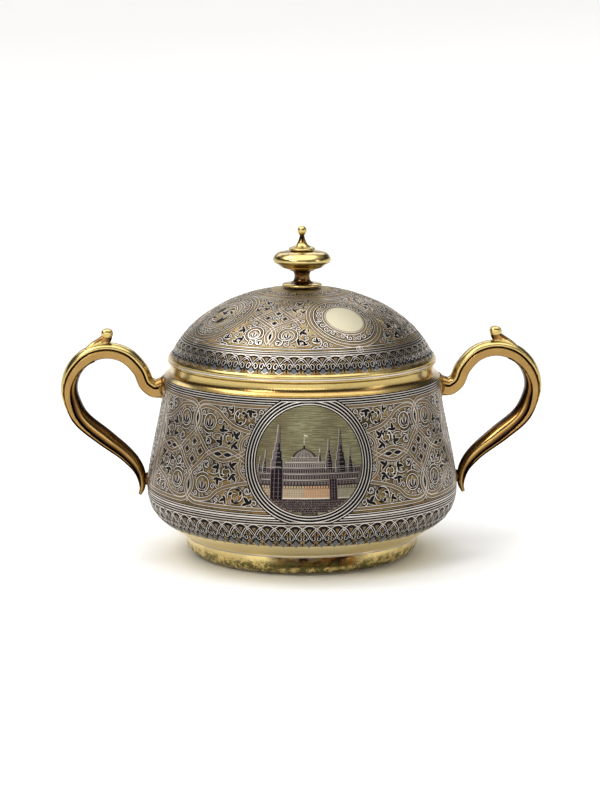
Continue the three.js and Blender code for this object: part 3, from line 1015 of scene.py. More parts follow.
class Drawing:
    """Strokes drawn flat, in mm, so that they can be laid on the metal several times."""

    def __init__(self):
        self.strokes = []

    def stroke(self, kind, points, width, height, offset=0.0, closed=False):
        """One bar; long straight steps are divided so that they follow the curved metal."""
        points = np.asarray(points, float)
        width = np.asarray(width, float)
        steps = np.linalg.norm(np.diff(points, axis=0), axis=1)
        if not closed and steps.max() > LONGEST_STEP:
            along = np.concatenate([[0], np.cumsum(steps)])
            added = np.linspace(0, along[-1], int(along[-1] / LONGEST_STEP) + 2)
            at = np.unique(np.concatenate([along, added]).round(3))
            at = at[np.concatenate([[True], np.diff(at) > 0.02])]
            if width.ndim:
                width = np.interp(at, along, width)
            points = np.stack([np.interp(at, along, points[:, i]) for i in range(2)], axis=1)
        self.strokes.append((kind, points, width, height, offset, closed))

    def line(self, points, width=LINE, offset=0.0, closed=False, height=LINE_HEIGHT):
        self.stroke("silver", points, width, height, offset, closed)

    def dark(self, points, width=STEM_NIELLO, offset=0.0, closed=False, height=NIELLO_HEIGHT):
        self.stroke("niello", points, width, height, offset, closed)

    def strap(self, points, closed=False, width=STRAP_WIDTH):
        """A brown band between two silver lines, outlined in niello."""
        spread = width / STRAP_WIDTH * STRAP_LINE_OFFSET
        self.dark(points, width, 0.0, closed)
        self.stroke("core", points, width / STRAP_WIDTH * STRAP_CORE, CORE_HEIGHT, 0.0, closed)
        for offset in (-spread, spread):
            self.line(points, STRAP_LINE, offset, closed)

    def stem(self, points, closed=False, width=LINE):
        """A silver stem outlined in niello."""
        self.dark(points, STEM_NIELLO, 0.0, closed)
        self.line(points, width, 0.0, closed)

    def leaf(self, points, width, edge=LEAF_EDGE):
        """A black leaf that tapers to both ends, with a silver edge all round it."""
        share = np.linspace(0, 1, len(points))
        swell = np.maximum(np.sin(math.pi * share**0.75), 0.06)
        self.stroke("silver", points, width * swell + 2 * edge, LINE_HEIGHT - 0.01)
        self.dark(points, width * swell, height=HEART_HEIGHT)

    def palmette(self, base, heading, size, way):
        """A bold black leaf with two smaller lobes, outlined in silver."""
        lobes = ((0, 60, 1.05, 0.50), (-62, 50, 0.84, 0.42), (75, 70, 0.80, 0.40))
        for turn, bend, length, width in lobes:
            points = sweep(base, heading + way * turn, way * bend, length * size)
            share = np.linspace(0, 1, len(points))
            swell = np.maximum(np.sin(math.pi * np.clip(share, 0.12, 1) ** 0.8), 0.06)
            self.stroke("silver", points, width * size * swell + 2 * LEAF_EDGE, LINE_HEIGHT - 0.01)
            self.dark(points, width * size * swell, height=HEART_HEIGHT)

    def lobe(self, centre, half_length, half_width, tilt=0.0):
        """A pointed black oval with a silver outline."""
        axis = half_length * np.array([(-1, 0), (-0.5, 0), (0, 0), (0.5, 0), (1, 0)])
        axis = np.array(centre) + axis @ turned_by(tilt).T
        self.dark(axis, 2 * half_width * np.array([0.05, 0.75, 1, 0.75, 0.05]), height=CORE_HEIGHT)
        self.line(lens(centre, half_length, half_width, tilt), 0.3, closed=True)

    def diamond(self, centre, half):
        """A dark square on its corner inside a silver one."""
        x, y = centre
        inner = 0.5 * half
        corners = [(x + half, y), (x, y + half), (x - half, y), (x, y - half)]
        self.dark(spaced(corners + corners[:1], half / 2)[:-1], 0.95, closed=True)
        self.dark([(x, y - inner), (x, y), (x, y + inner)], [0.05, 2 * inner, 0.05], height=CORE_HEIGHT)
        self.line(spaced(corners + corners[:1], half / 2)[:-1], 0.36, closed=True)

    def rosette(self, centre, radius):
        """A ring holding three black leaves that grow from one point, and a small curl."""
        self.stem(circle(centre, radius), closed=True, width=0.42)
        base = np.array(centre) + (0, -0.62 * radius)
        for heading, bend, length in ((165, -120, 1.2), (15, 120, 1.2), (90, 12, 1.35)):
            self.leaf(sweep(base, heading, bend, length * radius), 0.36 * radius, edge=0.17)
        self.dark([base - (0.45 * radius, 0.12 * radius), base, base + (0.45 * radius, -0.12 * radius)], 0.5)
        self.line([base - (0.5 * radius, 0.05 * radius), base, base + (0.5 * radius, -0.05 * radius)], 0.28)

    def leafy_spiral(self, centre, radius, start, way, leaves=(60, 170, 280), bold=0.46):
        """A stem that winds inwards, with black leaves springing inside it."""
        self.stem(spiral(centre, radius, 0.26 * radius, start, way * 470, power=1.7), width=0.42)
        for turn in leaves:
            angle = math.radians(start + way * turn)
            base = np.array(centre) + 0.84 * radius * np.array([math.cos(angle), math.sin(angle)])
            heading = start + way * (turn + 125)
            self.leaf(sweep(base, heading, way * 60, 0.66 * radius), min(bold * radius, 1.35))
        for turn in (start + way * 95, start + way * 250):
            points = arc(centre, 0.80 * radius, turn, turn + way * 65)
            swell = np.maximum(np.sin(np.linspace(0, math.pi, len(points))), 0.06)
            self.dark(points, 0.36 * radius * swell, height=HEART_HEIGHT)

    def scroll(self, centre, radius, random):
        """A small filling scroll, simpler the smaller it is."""
        start = random.uniform(0, 360)
        way = random.choice([-1, 1])
        angle = math.radians(start)
        edge_point = np.array(centre) + (radius - 0.2) * np.array([math.cos(angle), math.sin(angle)])
        outwards = np.array([math.cos(angle), math.sin(angle)])
        if radius > 0.9:
            self.stem(sweep(edge_point, start - way * 90, way * 55, 0.9 * radius))
        if radius > 1.5:
            self.stem(spiral(centre, radius - 0.1, 0.4, start, way * 400, power=1.5), width=0.4)
            self.palmette(centre + 0.1 * radius * outwards, start + 150 * way, 0.95 * radius, way)
            self.leaf(sweep(edge_point, start + way * 60, way * 60, radius), 0.36 * radius)
        elif radius > 0.9:
            self.stem(spiral(centre, radius - 0.1, 0.35, start, way * 330, power=1.2), width=0.38)
            self.leaf(sweep(centre, start + 40, way * 120, 1.2 * radius), 0.55 * radius, edge=0.16)
        else:
            base = centre - 1.2 * radius * outwards
            self.leaf(sweep(base, start, way * 70, 2.4 * radius, 0.25), 0.85 * radius, edge=0.14)

    def fill(self, inside, low, high, seed, largest=2.5, smallest=0.42, gap=0.12, also=()):
        """Fills the free ground with scrolls, the largest free place first."""
        random = np.random.default_rng(seed)
        spread = 0.3
        x, y = np.meshgrid(np.arange(low[0], high[0], spread), np.arange(low[1], high[1], spread))
        spots = np.stack([x.ravel(), y.ravel()], axis=1)
        spots = spots[inside(spots)]
        room = np.full(len(spots), 9.0)
        for _, points, width, _, offset, closed in [*self.strokes, *also]:
            ring = np.vstack([points, points[:1]]) if closed else points
            dense = spaced(ring, 0.3)
            reach = float(np.max(width)) / 2 + abs(offset) - 0.22
            near = np.linalg.norm(spots[:, None] - dense[None], axis=2).min(axis=1) - reach
            room = np.minimum(room, near)
        while len(room):
            best = int(room.argmax())
            radius = min(room[best] - gap, largest)
            if radius < smallest:
                break
            self.scroll(spots[best], radius, random)
            room = np.minimum(room, np.linalg.norm(spots - spots[best], axis=1) - 0.92 * radius)

    def add(self, other):
        self.strokes.extend(other.strokes)

    def mirrored(self):
        """The same drawing with left and right exchanged."""
        twin = Drawing()
        for kind, points, width, height, offset, closed in self.strokes:
            twin.strokes.append((kind, points * (-1, 1), width, height, -offset, closed))
        return twin

    def moved(self, shift, degrees=0.0):
        """The same drawing turned and then moved."""
        twin = Drawing()
        for kind, points, *rest in self.strokes:
            twin.strokes.append((kind, points @ turned_by(degrees).T + np.array(shift), *rest))
        return twin

    def lay(self, inlay, place, flip=False):
        """Lays every stroke on the metal; flip says that place exchanges left and right."""
        for kind, points, width, height, offset, closed in self.strokes:
            inlay.strip(kind, place(points), width, height, -offset if flip else offset, closed)


# ---------------------------------------------------------------- the body's ornament

FIELD_TOP = 17.7
FIELD_BOTTOM = -18.2
UNIT_CENTRE = math.radians(48.3) * UNIT_RADIUS
SIDE_SEAM = UNIT_CENTRE - math.pi / 2 * UNIT_RADIUS


def medallion_edge(q):
    """Where the round picture's outer ring is, in the unit's drawing, at height q."""
    reach = MEDALLION_RINGS[-1] ** 2 - (q + UNIT_HEIGHT - MEDALLION_HEIGHT) ** 2
    return UNIT_CENTRE - np.sqrt(np.maximum(reach, 0))


def knot():
    """The four small diamonds and the upright eyes, on the unit's axis."""
    drawing = Drawing()
    for centre in ((0, 3.1), (0, -3.1), (3.5, 0), (-3.5, 0)):
        drawing.diamond(centre, 1.65)
    drawing.diamond((0, 0), 0.7)
    drawing.lobe((0, 11.6), 2.5, 0.75, 90)
    drawing.lobe((0, -12.2), 2.6, 0.75, 90)
    return drawing


def unit_half():
    """Half of a unit, from its axis towards the round picture."""
    half = Drawing()
    upper = [
        (24, 2.4), (20.3, 0), (14, -2.1), (7.7, 0), (3.8, 3.8), (0, 7.6), (-1.8, 11.6), (0, 15.6),
        (2.2, 17.3), (5.5, FIELD_TOP), (10, FIELD_TOP),
    ]
    lower = [
        (24, -2.4), (20.3, 0), (14, 2.1), (7.7, 0), (3.8, -3.9), (0, -7.8), (-1.9, -12.2), (0, -16.2),
        (2.4, -17.9), (6, FIELD_BOTTOM), (10, FIELD_BOTTOM),
    ]
    half.strap(smooth(upper))
    half.strap(smooth(lower))
    above = [
        (1.2, 15.2), (4, 16.1), (7.6, 15.9), (10.8, 14.8), (13.4, 12.6), (17, 10.4), (20.5, 9.3), (24.8, 8.4),
    ]
    below = [
        (1.2, -15.9), (4, -16.8), (7.6, -16.5), (10.4, -15.4),
        (12.6, -13.2), (16, -11.4), (20.5, -10), (25, -9),
    ]
    half.strap(smooth(above))
    half.strap(smooth(below))
    half.strap(smooth([(24.8, 8.2), (21.8, 6), (20.9, 3.6), (21.4, 1.2)]), width=1.5)
    half.strap(smooth([(24.8, -8.8), (21.8, -6.2), (20.9, -3.6), (21.4, -1.2)]), width=1.5)
    for reach in (11.8, 15.9):
        half.lobe((reach, 0), 1.95, 0.85)
    half.rosette((6.6, 10.9), 2.9)
    half.rosette((6.5, -11.2), 2.9)
    half.stem(arc((6.6, 10.9), 4.2, 230, 300), width=0.42)
    half.stem(arc((6.5, -11.2), 4.2, 60, 130), width=0.42)
    half.leafy_spiral((15.9, 6.0), 2.5, 200, -1, leaves=(40, 150, 260))
    half.leafy_spiral((15.7, -6.2), 2.5, 160, 1, leaves=(40, 150, 260))
    for base, heading, way in (
        ((13.2, 8.0), 110, -1), ((18.3, 6.8), 20, 1), ((18.0, 4.0), -60, 1), ((12.9, 4.6), 200, -1),
        ((13.0, -8.4), 250, 1), ((18.1, -7.2), -25, -1), ((17.9, -4.1), 60, -1), ((12.7, -4.9), 160, 1),
    ):
        half.palmette(base, heading, 2.9, way)
    for side in (1, -1):
        half.stem(sweep((9.6, 6.9 * side), 20 * side, -70 * side, 4.2), width=0.4)
        half.stem(sweep((15.5, 8.6 * side), 150 * side, 80 * side, 3.6), width=0.4)
    half.stem(spiral((11.2, 4.1), 1.25, 0.3, 270, 330))
    half.stem(spiral((11.2, -4.1), 1.25, 0.3, 90, -330))
    return half


def towards_medallion():
    """The corners between the strapwork, the frame and the round picture."""
    corners = Drawing()
    for height in (FIELD_TOP, FIELD_BOTTOM):
        edge = float(medallion_edge(height)) + 1
        corners.strap(spaced([(9.5, height), (edge, height)], 1.0))
    corners.leafy_spiral((20.2, 13.4), 2.9, 100, 1, leaves=(20, 150, 300))
    corners.leafy_spiral((20.4, -14.0), 3.1, 200, -1, leaves=(20, 150, 300))
    corners.stem(spiral((25.9, 15.0), 1.3, 0.35, 100, 400, power=1.4), width=0.42)
    corners.palmette((24.3, 16.2), 250, 3.0, 1)
    corners.palmette((17.0, 15.9), 190, 2.4, -1)
    corners.stem(spiral((27.2, -16.2), 1.3, 0.35, -100, -400, power=1.4), width=0.42)
    corners.palmette((25.0, -16.6), 100, 3.2, 1)
    corners.palmette((16.6, -15.6), 180, 2.6, 1)
    return corners


def fence(points, width, closed=False):
    """An unseen stroke that the scattered leaves stay clear of."""
    return ("", np.array(points), width, 0, 0.0, closed)


def body_unit():
    """The whole drawing from the round picture to the line above the handle."""
    half = unit_half()
    axis = knot()
    inner = towards_medallion()
    inner.add(half)
    rows = np.linspace(FIELD_BOTTOM, FIELD_TOP, 60)
    wall = np.stack([medallion_edge(rows), rows], axis=1)
    walls = [fence(wall, 0.4), *half.mirrored().strokes, *axis.strokes]

    def inside(spots):
        return (spots[:, 0] > 0) & (spots[:, 0] < medallion_edge(spots[:, 1]) - 0.4)

    inner.fill(inside, (0, FIELD_BOTTOM), (34, FIELD_TOP), 11, also=walls)
    outer = Drawing()
    for height in (FIELD_TOP, FIELD_BOTTOM):
        outer.strap(spaced([(9.5, height), (UNIT_EDGE + 1, height)], 1.0))
    outer.add(half)
    outer.strap(spaced([(UNIT_EDGE, FIELD_BOTTOM), (UNIT_EDGE, FIELD_TOP)], 1.0))
    walls = [*half.mirrored().strokes, *axis.strokes]
    corner = (UNIT_EDGE, FIELD_TOP)
    outer.fill(lambda spots: spots[:, 0] < UNIT_EDGE, (0, FIELD_BOTTOM), corner, 12, also=walls)
    side = Drawing()
    far = -SIDE_SEAM
    for height in (FIELD_TOP, FIELD_BOTTOM):
        side.strap(spaced([(UNIT_EDGE, height), (far, height)], 1.0))
    side.strap(spaced([(UNIT_EDGE + 3, FIELD_BOTTOM), (UNIT_EDGE + 3, FIELD_TOP)], 1.0))
    for height in (10.5, 1.0, -8.5):
        side.leafy_spiral((far - 1.5, height), 2.6, 100, 1)
    seam = fence([(far, FIELD_BOTTOM), (far, FIELD_TOP)], 0.1)
    low, high = (UNIT_EDGE + 4.2, FIELD_BOTTOM), (far, FIELD_TOP)
    side.fill(lambda spots: spots[:, 0] < far, low, high, 13, smallest=0.7, also=[seam], gap=0.2)
    whole = Drawing()
    whole.add(axis)
    whole.add(inner)
    whole.add(outer.mirrored())
    whole.add(side.mirrored())
    return whole


def unit_place(side, back):
    """Where the unit's drawing lies for one of the four units; side is 1 on the right of its face."""

    def place(drawing):
        p, q = np.asarray(drawing, float).T
        turn = side * (UNITS_AT - p / UNIT_RADIUS) + (math.pi if back else 0)
        return np.stack([turn, BODY.at_height(UNIT_HEIGHT + q)], axis=1)

    return place


def add_ring(inlay, rise, width=LINE, dark=0.95, steps=300):
    """A silver line on a black one, all the way round at one rise."""
    turn = np.linspace(0, TAU, steps, endpoint=False)
    places = np.stack([turn, np.full(steps, rise)], axis=1)
    inlay.strip("niello", places, dark, NIELLO_HEIGHT, closed=True)
    inlay.strip("silver", places, width, LINE_HEIGHT, closed=True)


def make_body_ornament():
    unit = body_unit()
    for back, face in ((False, "front"), (True, "back")):
        inlay = Inlay(BODY)
        for side in (1, -1):
            unit.lay(inlay, unit_place(side, back), flip=side > 0)
        inlay.pieces(f"body_{face}_field", "bowl")
    lines = Inlay(BODY)
    for height in (67.0, 66.15, 65.3, 26.1, 24.4, 23.5, 22.6):
        add_ring(lines, BODY.at_height(height))
    add_ring(lines, BODY.at_height(25.25), width=0.6)
    lines.pieces("body_border", "bowl")


# ---------------------------------------------------------------- the two bands of little arches


def band_repeat(period, tall, curl_at, stretch):
    """One repeat of a band, around its V, from height 0 at the foot to 1 at the top of the arches.
    The curls sit at height curl_at, stretched where the metal turns away from the eye."""
    drawing = Drawing()

    def at(*points):
        return np.array([(x * period / 4.9, y * tall) for x, y in points])

    start = curl_at + 0.08
    for side in (1, -1):
        low, middle = (0.15 * side, start), (0.6 * side, 0.7 * start + 0.3)
        strand = smooth(at(low, middle, (1.5 * side, 0.25 * start + 0.75), (2.75 * side, 1.03)), 0.6)
        drawing.dark(strand, 1.8)
        drawing.line(strand, 0.28, 0.38)
        drawing.line(strand, 0.28, -0.38)
        centre = at((1.3 * side, curl_at))[0]
        drawing.dark([centre - (1.3, 0), centre, centre + (1.3, 0)], [1.2, 3.0 * stretch, 1.2])
        curl = spiral((0, 0), 1.05, 0.3, 90 + 90 * side, -side * 420, 0.4, power=1.2) * (1, stretch)
        drawing.line(centre + curl, 0.32, height=0.07)
    drawing.dark(at((0, 1.12), (0, 1.02), (0, start + 0.08)), [1.8, 3.4, 0.1], height=CORE_HEIGHT)
    drawing.stroke("core", at((0, 1.02), (0, start + 0.2)), [1.7, 0.1], LINE_HEIGHT)
    top, middle = curl_at - 0.04, 0.45 * curl_at
    drawing.dark(at((0, top), (0, middle), (0, -0.06)), [1.2, 4.0, 0.3])
    drawing.stroke("worn", at((0, top - 0.05), (0, middle), (0, 0.0)), [0.3, 2.7, 0.1], CORE_HEIGHT)
    edge = at((-1.65, middle), (-0.8, 0.4 * middle), (0, -0.04), (0.8, 0.4 * middle), (1.65, middle))
    drawing.line(edge, 0.34)
    scallop = smooth(at((-2.45, 1.03), (-1.2, 1.13), (0, 1.16), (1.2, 1.13), (2.45, 1.03)), 0.8)
    drawing.dark(scallop, 0.9)
    drawing.line(scallop, 0.36)
    for top, middle, foot in ((0.34, 0.2, 0.04), (0.9, 0.78, 0.66)):
        drawing.dark(at((2.45, top), (2.45, middle), (2.45, foot)), [0.1, 0.9, 0.1])
    return drawing


def ring_place(radius, foot, middle):
    """Where a small drawing lies on a ring, with its origin at the rise foot and the turn middle."""

    def place(drawing):
        x, y = np.asarray(drawing, float).T
        return np.stack([middle + x / radius, foot + y], axis=1)

    return place


def make_band(name, surface, body, low, high, repeats, curl_at, stretch):
    """A band of little arches round the bowl or the cover, between two heights."""
    inlay = Inlay(surface)
    foot = surface.at_height(low)
    rise = surface.at_height(high) - foot
    radius = float(surface.radius(foot + rise / 2))
    period = TAU * radius / repeats
    repeat = band_repeat(period, rise, curl_at, stretch)
    for number in range(repeats):
        repeat.lay(inlay, ring_place(radius, foot, number * TAU / repeats))
    inlay.pieces(name, body)


# ---------------------------------------------------------------- the round pictures

PICTURE_RADIUS = 19.35


def medallion_place(back):
    def place(drawing):
        x, y = np.asarray(drawing, float).T
        turn = x / UNIT_RADIUS + (math.pi if back else 0)
        return np.stack([turn, BODY.at_height(MEDALLION_HEIGHT + y)], axis=1)

    return place


def medallion_frame():
    """Four rings that run into the border lines above and below."""
    drawing = Drawing()

    def ring(radius):
        return np.clip(circle((0, 0), radius, 0.8), (-99, -21.9), (99, 20.5))

    for radius in (19.6, 20.3, 21.0, 21.7, 22.4, 23.1):
        drawing.dark(ring(radius), 0.95, closed=True, height=0.10)
    for radius in MEDALLION_RINGS:
        drawing.line(ring(radius), 0.42, closed=True, height=0.15)
    return drawing


def plate(name, surface, place, radius, height, material, rings=14, steps=160):
    """A thin round sheet lying on the surface."""
    points = []
    for level in (height, -SINK):
        for ring in range(rings + 1):
            angle = np.linspace(0, TAU, steps, endpoint=False)
            reach = radius * max(ring / rings, 1e-3)
            places = place(np.stack([reach * np.cos(angle), reach * np.sin(angle)], axis=1))
            centre, normal = surface.frame(places)
            points.append(centre + normal * level)
    index = np.arange(2 * (rings + 1) * steps).reshape(2, rings + 1, steps)
    faces = [index[0, 0].tolist(), index[1, 0][::-1].tolist()]
    for ring in range(rings):
        for k in range(steps):
            m = (k + 1) % steps
            faces.append([index[0, ring, k], index[0, ring + 1, k], index[0, ring + 1, m], index[0, ring, m]])
            faces.append([index[1, ring, k], index[1, ring, m], index[1, ring + 1, m], index[1, ring + 1, k]])
    for k in range(steps):
        m = (k + 1) % steps
        faces.append([index[0, rings, k], index[1, rings, k], index[1, rings, m], index[0, rings, m]])
    return make_piece(name, np.vstack(points), [[int(i) for i in face] for face in faces], [material])


def chord(y, radius=PICTURE_RADIUS - 0.2):
    return math.sqrt(max(radius**2 - y**2, 0))


# A tower's outline, as (share of its height, share of its half width).
TOWER_STAGES = [
    (0, 1), (0.28, 1), (0.29, 0.78), (0.46, 0.74), (0.47, 0.5), (0.62, 0.42), (0.63, 0.28), (0.97, 0.06),
    (1, 0.04),
]


def tower(drawing, x, foot, top, half):
    """A stepped tower with a spire, dark with pale edges and window slits."""
    tall = top - foot
    axis = [(x, foot + tall * at) for at, _ in TOWER_STAGES]
    drawing.stroke("grey", axis, [2 * half * size for _, size in TOWER_STAGES], 0.12)
    shade = [(px + 0.3 * half, py) for px, py in axis]
    drawing.stroke("niello", shade, [1.1 * half * size for _, size in TOWER_STAGES], 0.14)
    for side, kind in ((-1, "silver"), (1, "stone")):
        edge = [(x + side * half * size, foot + tall * at) for at, size in TOWER_STAGES]
        drawing.stroke(kind, edge, 0.16, 0.16)
    for level in (0.05, 0.14, 0.23, 0.34, 0.42, 0.52):
        across = half * (0.6 if level < 0.28 else 0.42 if level < 0.46 else 0.25)
        y = foot + tall * level
        drawing.stroke("stone", [(x - across, y), (x + across, y)], 0.2, 0.16)
        for shift in (-0.6, 0.1, 0.7):
            slit = x + shift * across
            drawing.stroke("niello", [(slit, y + 0.25), (slit, y + 0.85)], 0.2, 0.17)


def windows(drawing, left, right, low, high, spacing):
    """A row of round-headed windows under a cornice."""
    x = left + spacing / 2
    while x < right:
        drawing.stroke("niello", [(x, low), (x, high - 0.2), (x, high)], [0.42, 0.42, 0.15], 0.14)
        x += spacing
    level_line(drawing, "niello", left, right, high + 0.3, 0.26, 0.14)
    level_line(drawing, "silver", left, right, high + 0.55, 0.18, 0.15)


def slab(drawing, kind, left, right, low, high, height):
    """A filled area, cut into thin level strips that stop at the picture's edge."""
    count = max(1, round((high - low) / 0.8))
    thick = (high - low) / count
    for number in range(count):
        y = low + (number + 0.5) * thick
        reach = chord(abs(y) + thick / 2)
        start, end = max(left, -reach), min(right, reach)
        if end - start > 0.3:
            drawing.stroke(kind, spaced([(start, y), (end, y)], 1.5), thick * 1.02, height)


def mound(drawing, kind, centre, foot, rise, half, height):
    """A low dome that is built up from level strips."""
    count = 10
    for number in range(count):
        share = (number + 0.5) / count
        reach = half * math.cos(share * math.pi / 2) ** 0.75
        y = foot + rise * share
        strip = spaced([(centre - reach, y), (centre + reach, y)], 1.5)
        drawing.stroke(kind, strip, rise / count * 1.05, height)


def level_line(drawing, kind, left, right, y, width, height):
    reach = chord(y)
    drawing.stroke(kind, spaced([(max(left, -reach), y), (min(right, reach), y)], 1.5), width, height)


def hatch_sky(drawing, random):
    y = 18.4
    while y > -2:
        reach = chord(y)
        left = -reach
        while left < reach - 1:
            length = random.uniform(3, 12)
            level_line(drawing, "bronze", left, left + length, y, random.uniform(0.12, 0.26), 0.06)
            left += length + random.uniform(0.5, 3.5)
        y -= 0.62


def hatch_foreground(drawing, top, random):
    slab(drawing, "niello", -20, 20, -PICTURE_RADIUS + 0.4, top, 0.07)
    y = top - 0.3
    while y > -PICTURE_RADIUS + 0.8:
        x = -chord(y)
        while x < chord(y):
            lean = random.uniform(-0.3, 0.3)
            kind = random.choice(["grey", "plum", "stone"], p=[0.3, 0.6, 0.1])
            drawing.stroke(kind, [(x, y - 0.2), (x + lean, y + 0.25)], 0.2, 0.12)
            x += random.uniform(0.32, 0.6)
        y -= 0.46


def palace(drawing):
    """Rows of arcades under a low dome with a thin flagpole."""
    centre = -1.8
    slab(drawing, "grey", -20, 20, -8.9, -2.0, 0.06)
    for low, spacing in ((-8.5, 1.1), (-6.4, 0.9), (-4.3, 0.8)):
        windows(drawing, -chord(low) + 0.4, chord(low) - 0.4, low, low + 1.15, spacing)
    slab(drawing, "stone", -8.6, 5.4, -2.4, -0.5, 0.1)
    windows(drawing, -8.6, 5.4, -2.3, -1.2, 0.75)
    slab(drawing, "stone", -6.4, 2.8, -0.5, 1.0, 0.1)
    windows(drawing, -6.4, 2.8, -0.3, 0.5, 0.7)
    mound(drawing, "niello", centre, 0.9, 3.4, 4.3, 0.11)
    mound(drawing, "stone", centre, 0.9, 2.9, 3.5, 0.15)
    for shift in (-2.1, -0.7, 0.7, 2.1):
        drawing.stroke("niello", [(centre + shift, 1.2), (centre + 0.55 * shift, 3.1)], 0.2, 0.2)
    drawing.stroke("niello", [(centre, 4.0), (centre, 4.9), (centre, 5.5)], [0.5, 0.8, 0.1], 0.16)
    drawing.stroke("silver", [(centre, 5.2), (centre, 9.0)], 0.14, 0.16)
    drawing.stroke("silver", [(centre, 8.7), (centre + 1.3, 8.4)], 0.4, 0.16)


def town_wall(drawing, top, foot):
    """A pale crenellated wall with two dark square towers."""
    for kind, left, right in (("gold", -20, -2), ("amber", -2, 6.8), ("moss", 6.8, 20)):
        slab(drawing, kind, left, right, foot, top, 0.1)
    level_line(drawing, "niello", -20, 20, top - 1.1, 0.18, 0.14)
    x = -chord(top) + 0.5
    while x < chord(top) - 0.3:
        drawing.stroke("niello", [(x, top - 0.9), (x, top + 0.1)], 0.36, 0.15)
        x += 0.92
    level_line(drawing, "niello", -20, 20, top + 0.25, 0.4, 0.14)
    x = -chord(foot)
    while x < chord(foot):
        drawing.stroke("plum", [(x, foot + 0.3), (x, top - 1.5)], 0.13, 0.13)
        x += 0.8
    for x, half, high in ((-11.4, 2.1, -3.2), (8.2, 1.3, -6.6)):
        drawing.stroke("niello", [(x, foot - 0.5), (x, high)], 2 * half, 0.18)
        for share in (-1, -0.4, 0.3, 1):
            drawing.stroke("plum", [(x + share * half, foot - 0.4), (x + share * half, high)], 0.34, 0.22)
        for step in range(6):
            y = foot + 0.6 + step * (high - foot - 0.6) / 6
            drawing.stroke("grey", [(x - 0.7 * half, y), (x + 0.7 * half, y)], 0.16, 0.22)
    level_line(drawing, "silver", -20, 20, foot - 0.1, 0.3, 0.16)


TOWERS = (
    (-11.4, -4.6, 12.4, 2.2), (-15.8, -4.6, 3.6, 0.8), (-17.7, -4.4, 1.2, 0.55),
    (7.0, -3.2, 7.4, 1.35), (11.2, -4.2, 10.6, 1.9), (14.7, -4.6, 4.4, 1.0), (3.8, -0.6, 4.2, 0.55),
)


def townscape():
    """An imagined riverside town: a crenellated wall, arcades, a low dome and spired towers."""
    drawing = Drawing()
    random = np.random.default_rng(5)
    wall_top, wall_foot = -8.8, -13.1
    hatch_sky(drawing, random)
    palace(drawing)
    for x, foot, top, half in TOWERS:
        tower(drawing, x, foot, top, half)
    town_wall(drawing, wall_top, wall_foot)
    hatch_foreground(drawing, wall_foot - 0.4, random)
    return drawing


def make_medallions():
    picture = townscape()
    frame_rings = medallion_frame()
    for back, face in ((False, "front"), (True, "back")):
        place = medallion_place(back)
        sky = plate(f"medallion_{face}_sky", BODY, place, PICTURE_RADIUS + 0.3, 0.03, SATIN)
        settle(sky, "bowl", "satin_gilt")
        inlay = Inlay(BODY)
        picture.lay(inlay, place)
        frame_rings.lay(inlay, place)
        inlay.pieces(f"medallion_{face}", "bowl")


# ---------------------------------------------------------------- the cover's ornament

COVER_MEDALLION = math.radians(25.5)
MEDALLION_REACH = 32.5
DOME_FIELD_FOOT = 84.0
DOME_FIELD_TOP = 19.3


def rise_at_radius(radius):
    return float(np.interp(-radius, -DOME.r, DOME.rise))


# The dome's field is drawn on a flat fan whose centre is (0, 0).
# A circle there stays nearly round on the dome.
FAN_SPREAD = 0.862
FAN_MEDALLION = MEDALLION_REACH / FAN_SPREAD


def fan_reach(rise):
    """A place's distance from the fan's centre."""
    return FAN_MEDALLION - (rise - rise_at_radius(MEDALLION_REACH))


def fan_place(quarter, flip):
    def place(drawing):
        x, y = np.asarray(drawing, float).T
        reach = np.hypot(x, y)
        turn = np.arctan2(-x if flip else x, -y) / FAN_SPREAD
        rise = rise_at_radius(MEDALLION_REACH) + FAN_MEDALLION - reach
        return np.stack([COVER_MEDALLION + quarter * math.pi / 2 + turn, rise], axis=1)

    return place


def fan_arc(reach, from_degrees, to_degrees):
    angle = np.radians(np.linspace(from_degrees, to_degrees, 40))
    return np.stack([reach * np.sin(angle), -reach * np.cos(angle)], axis=1)


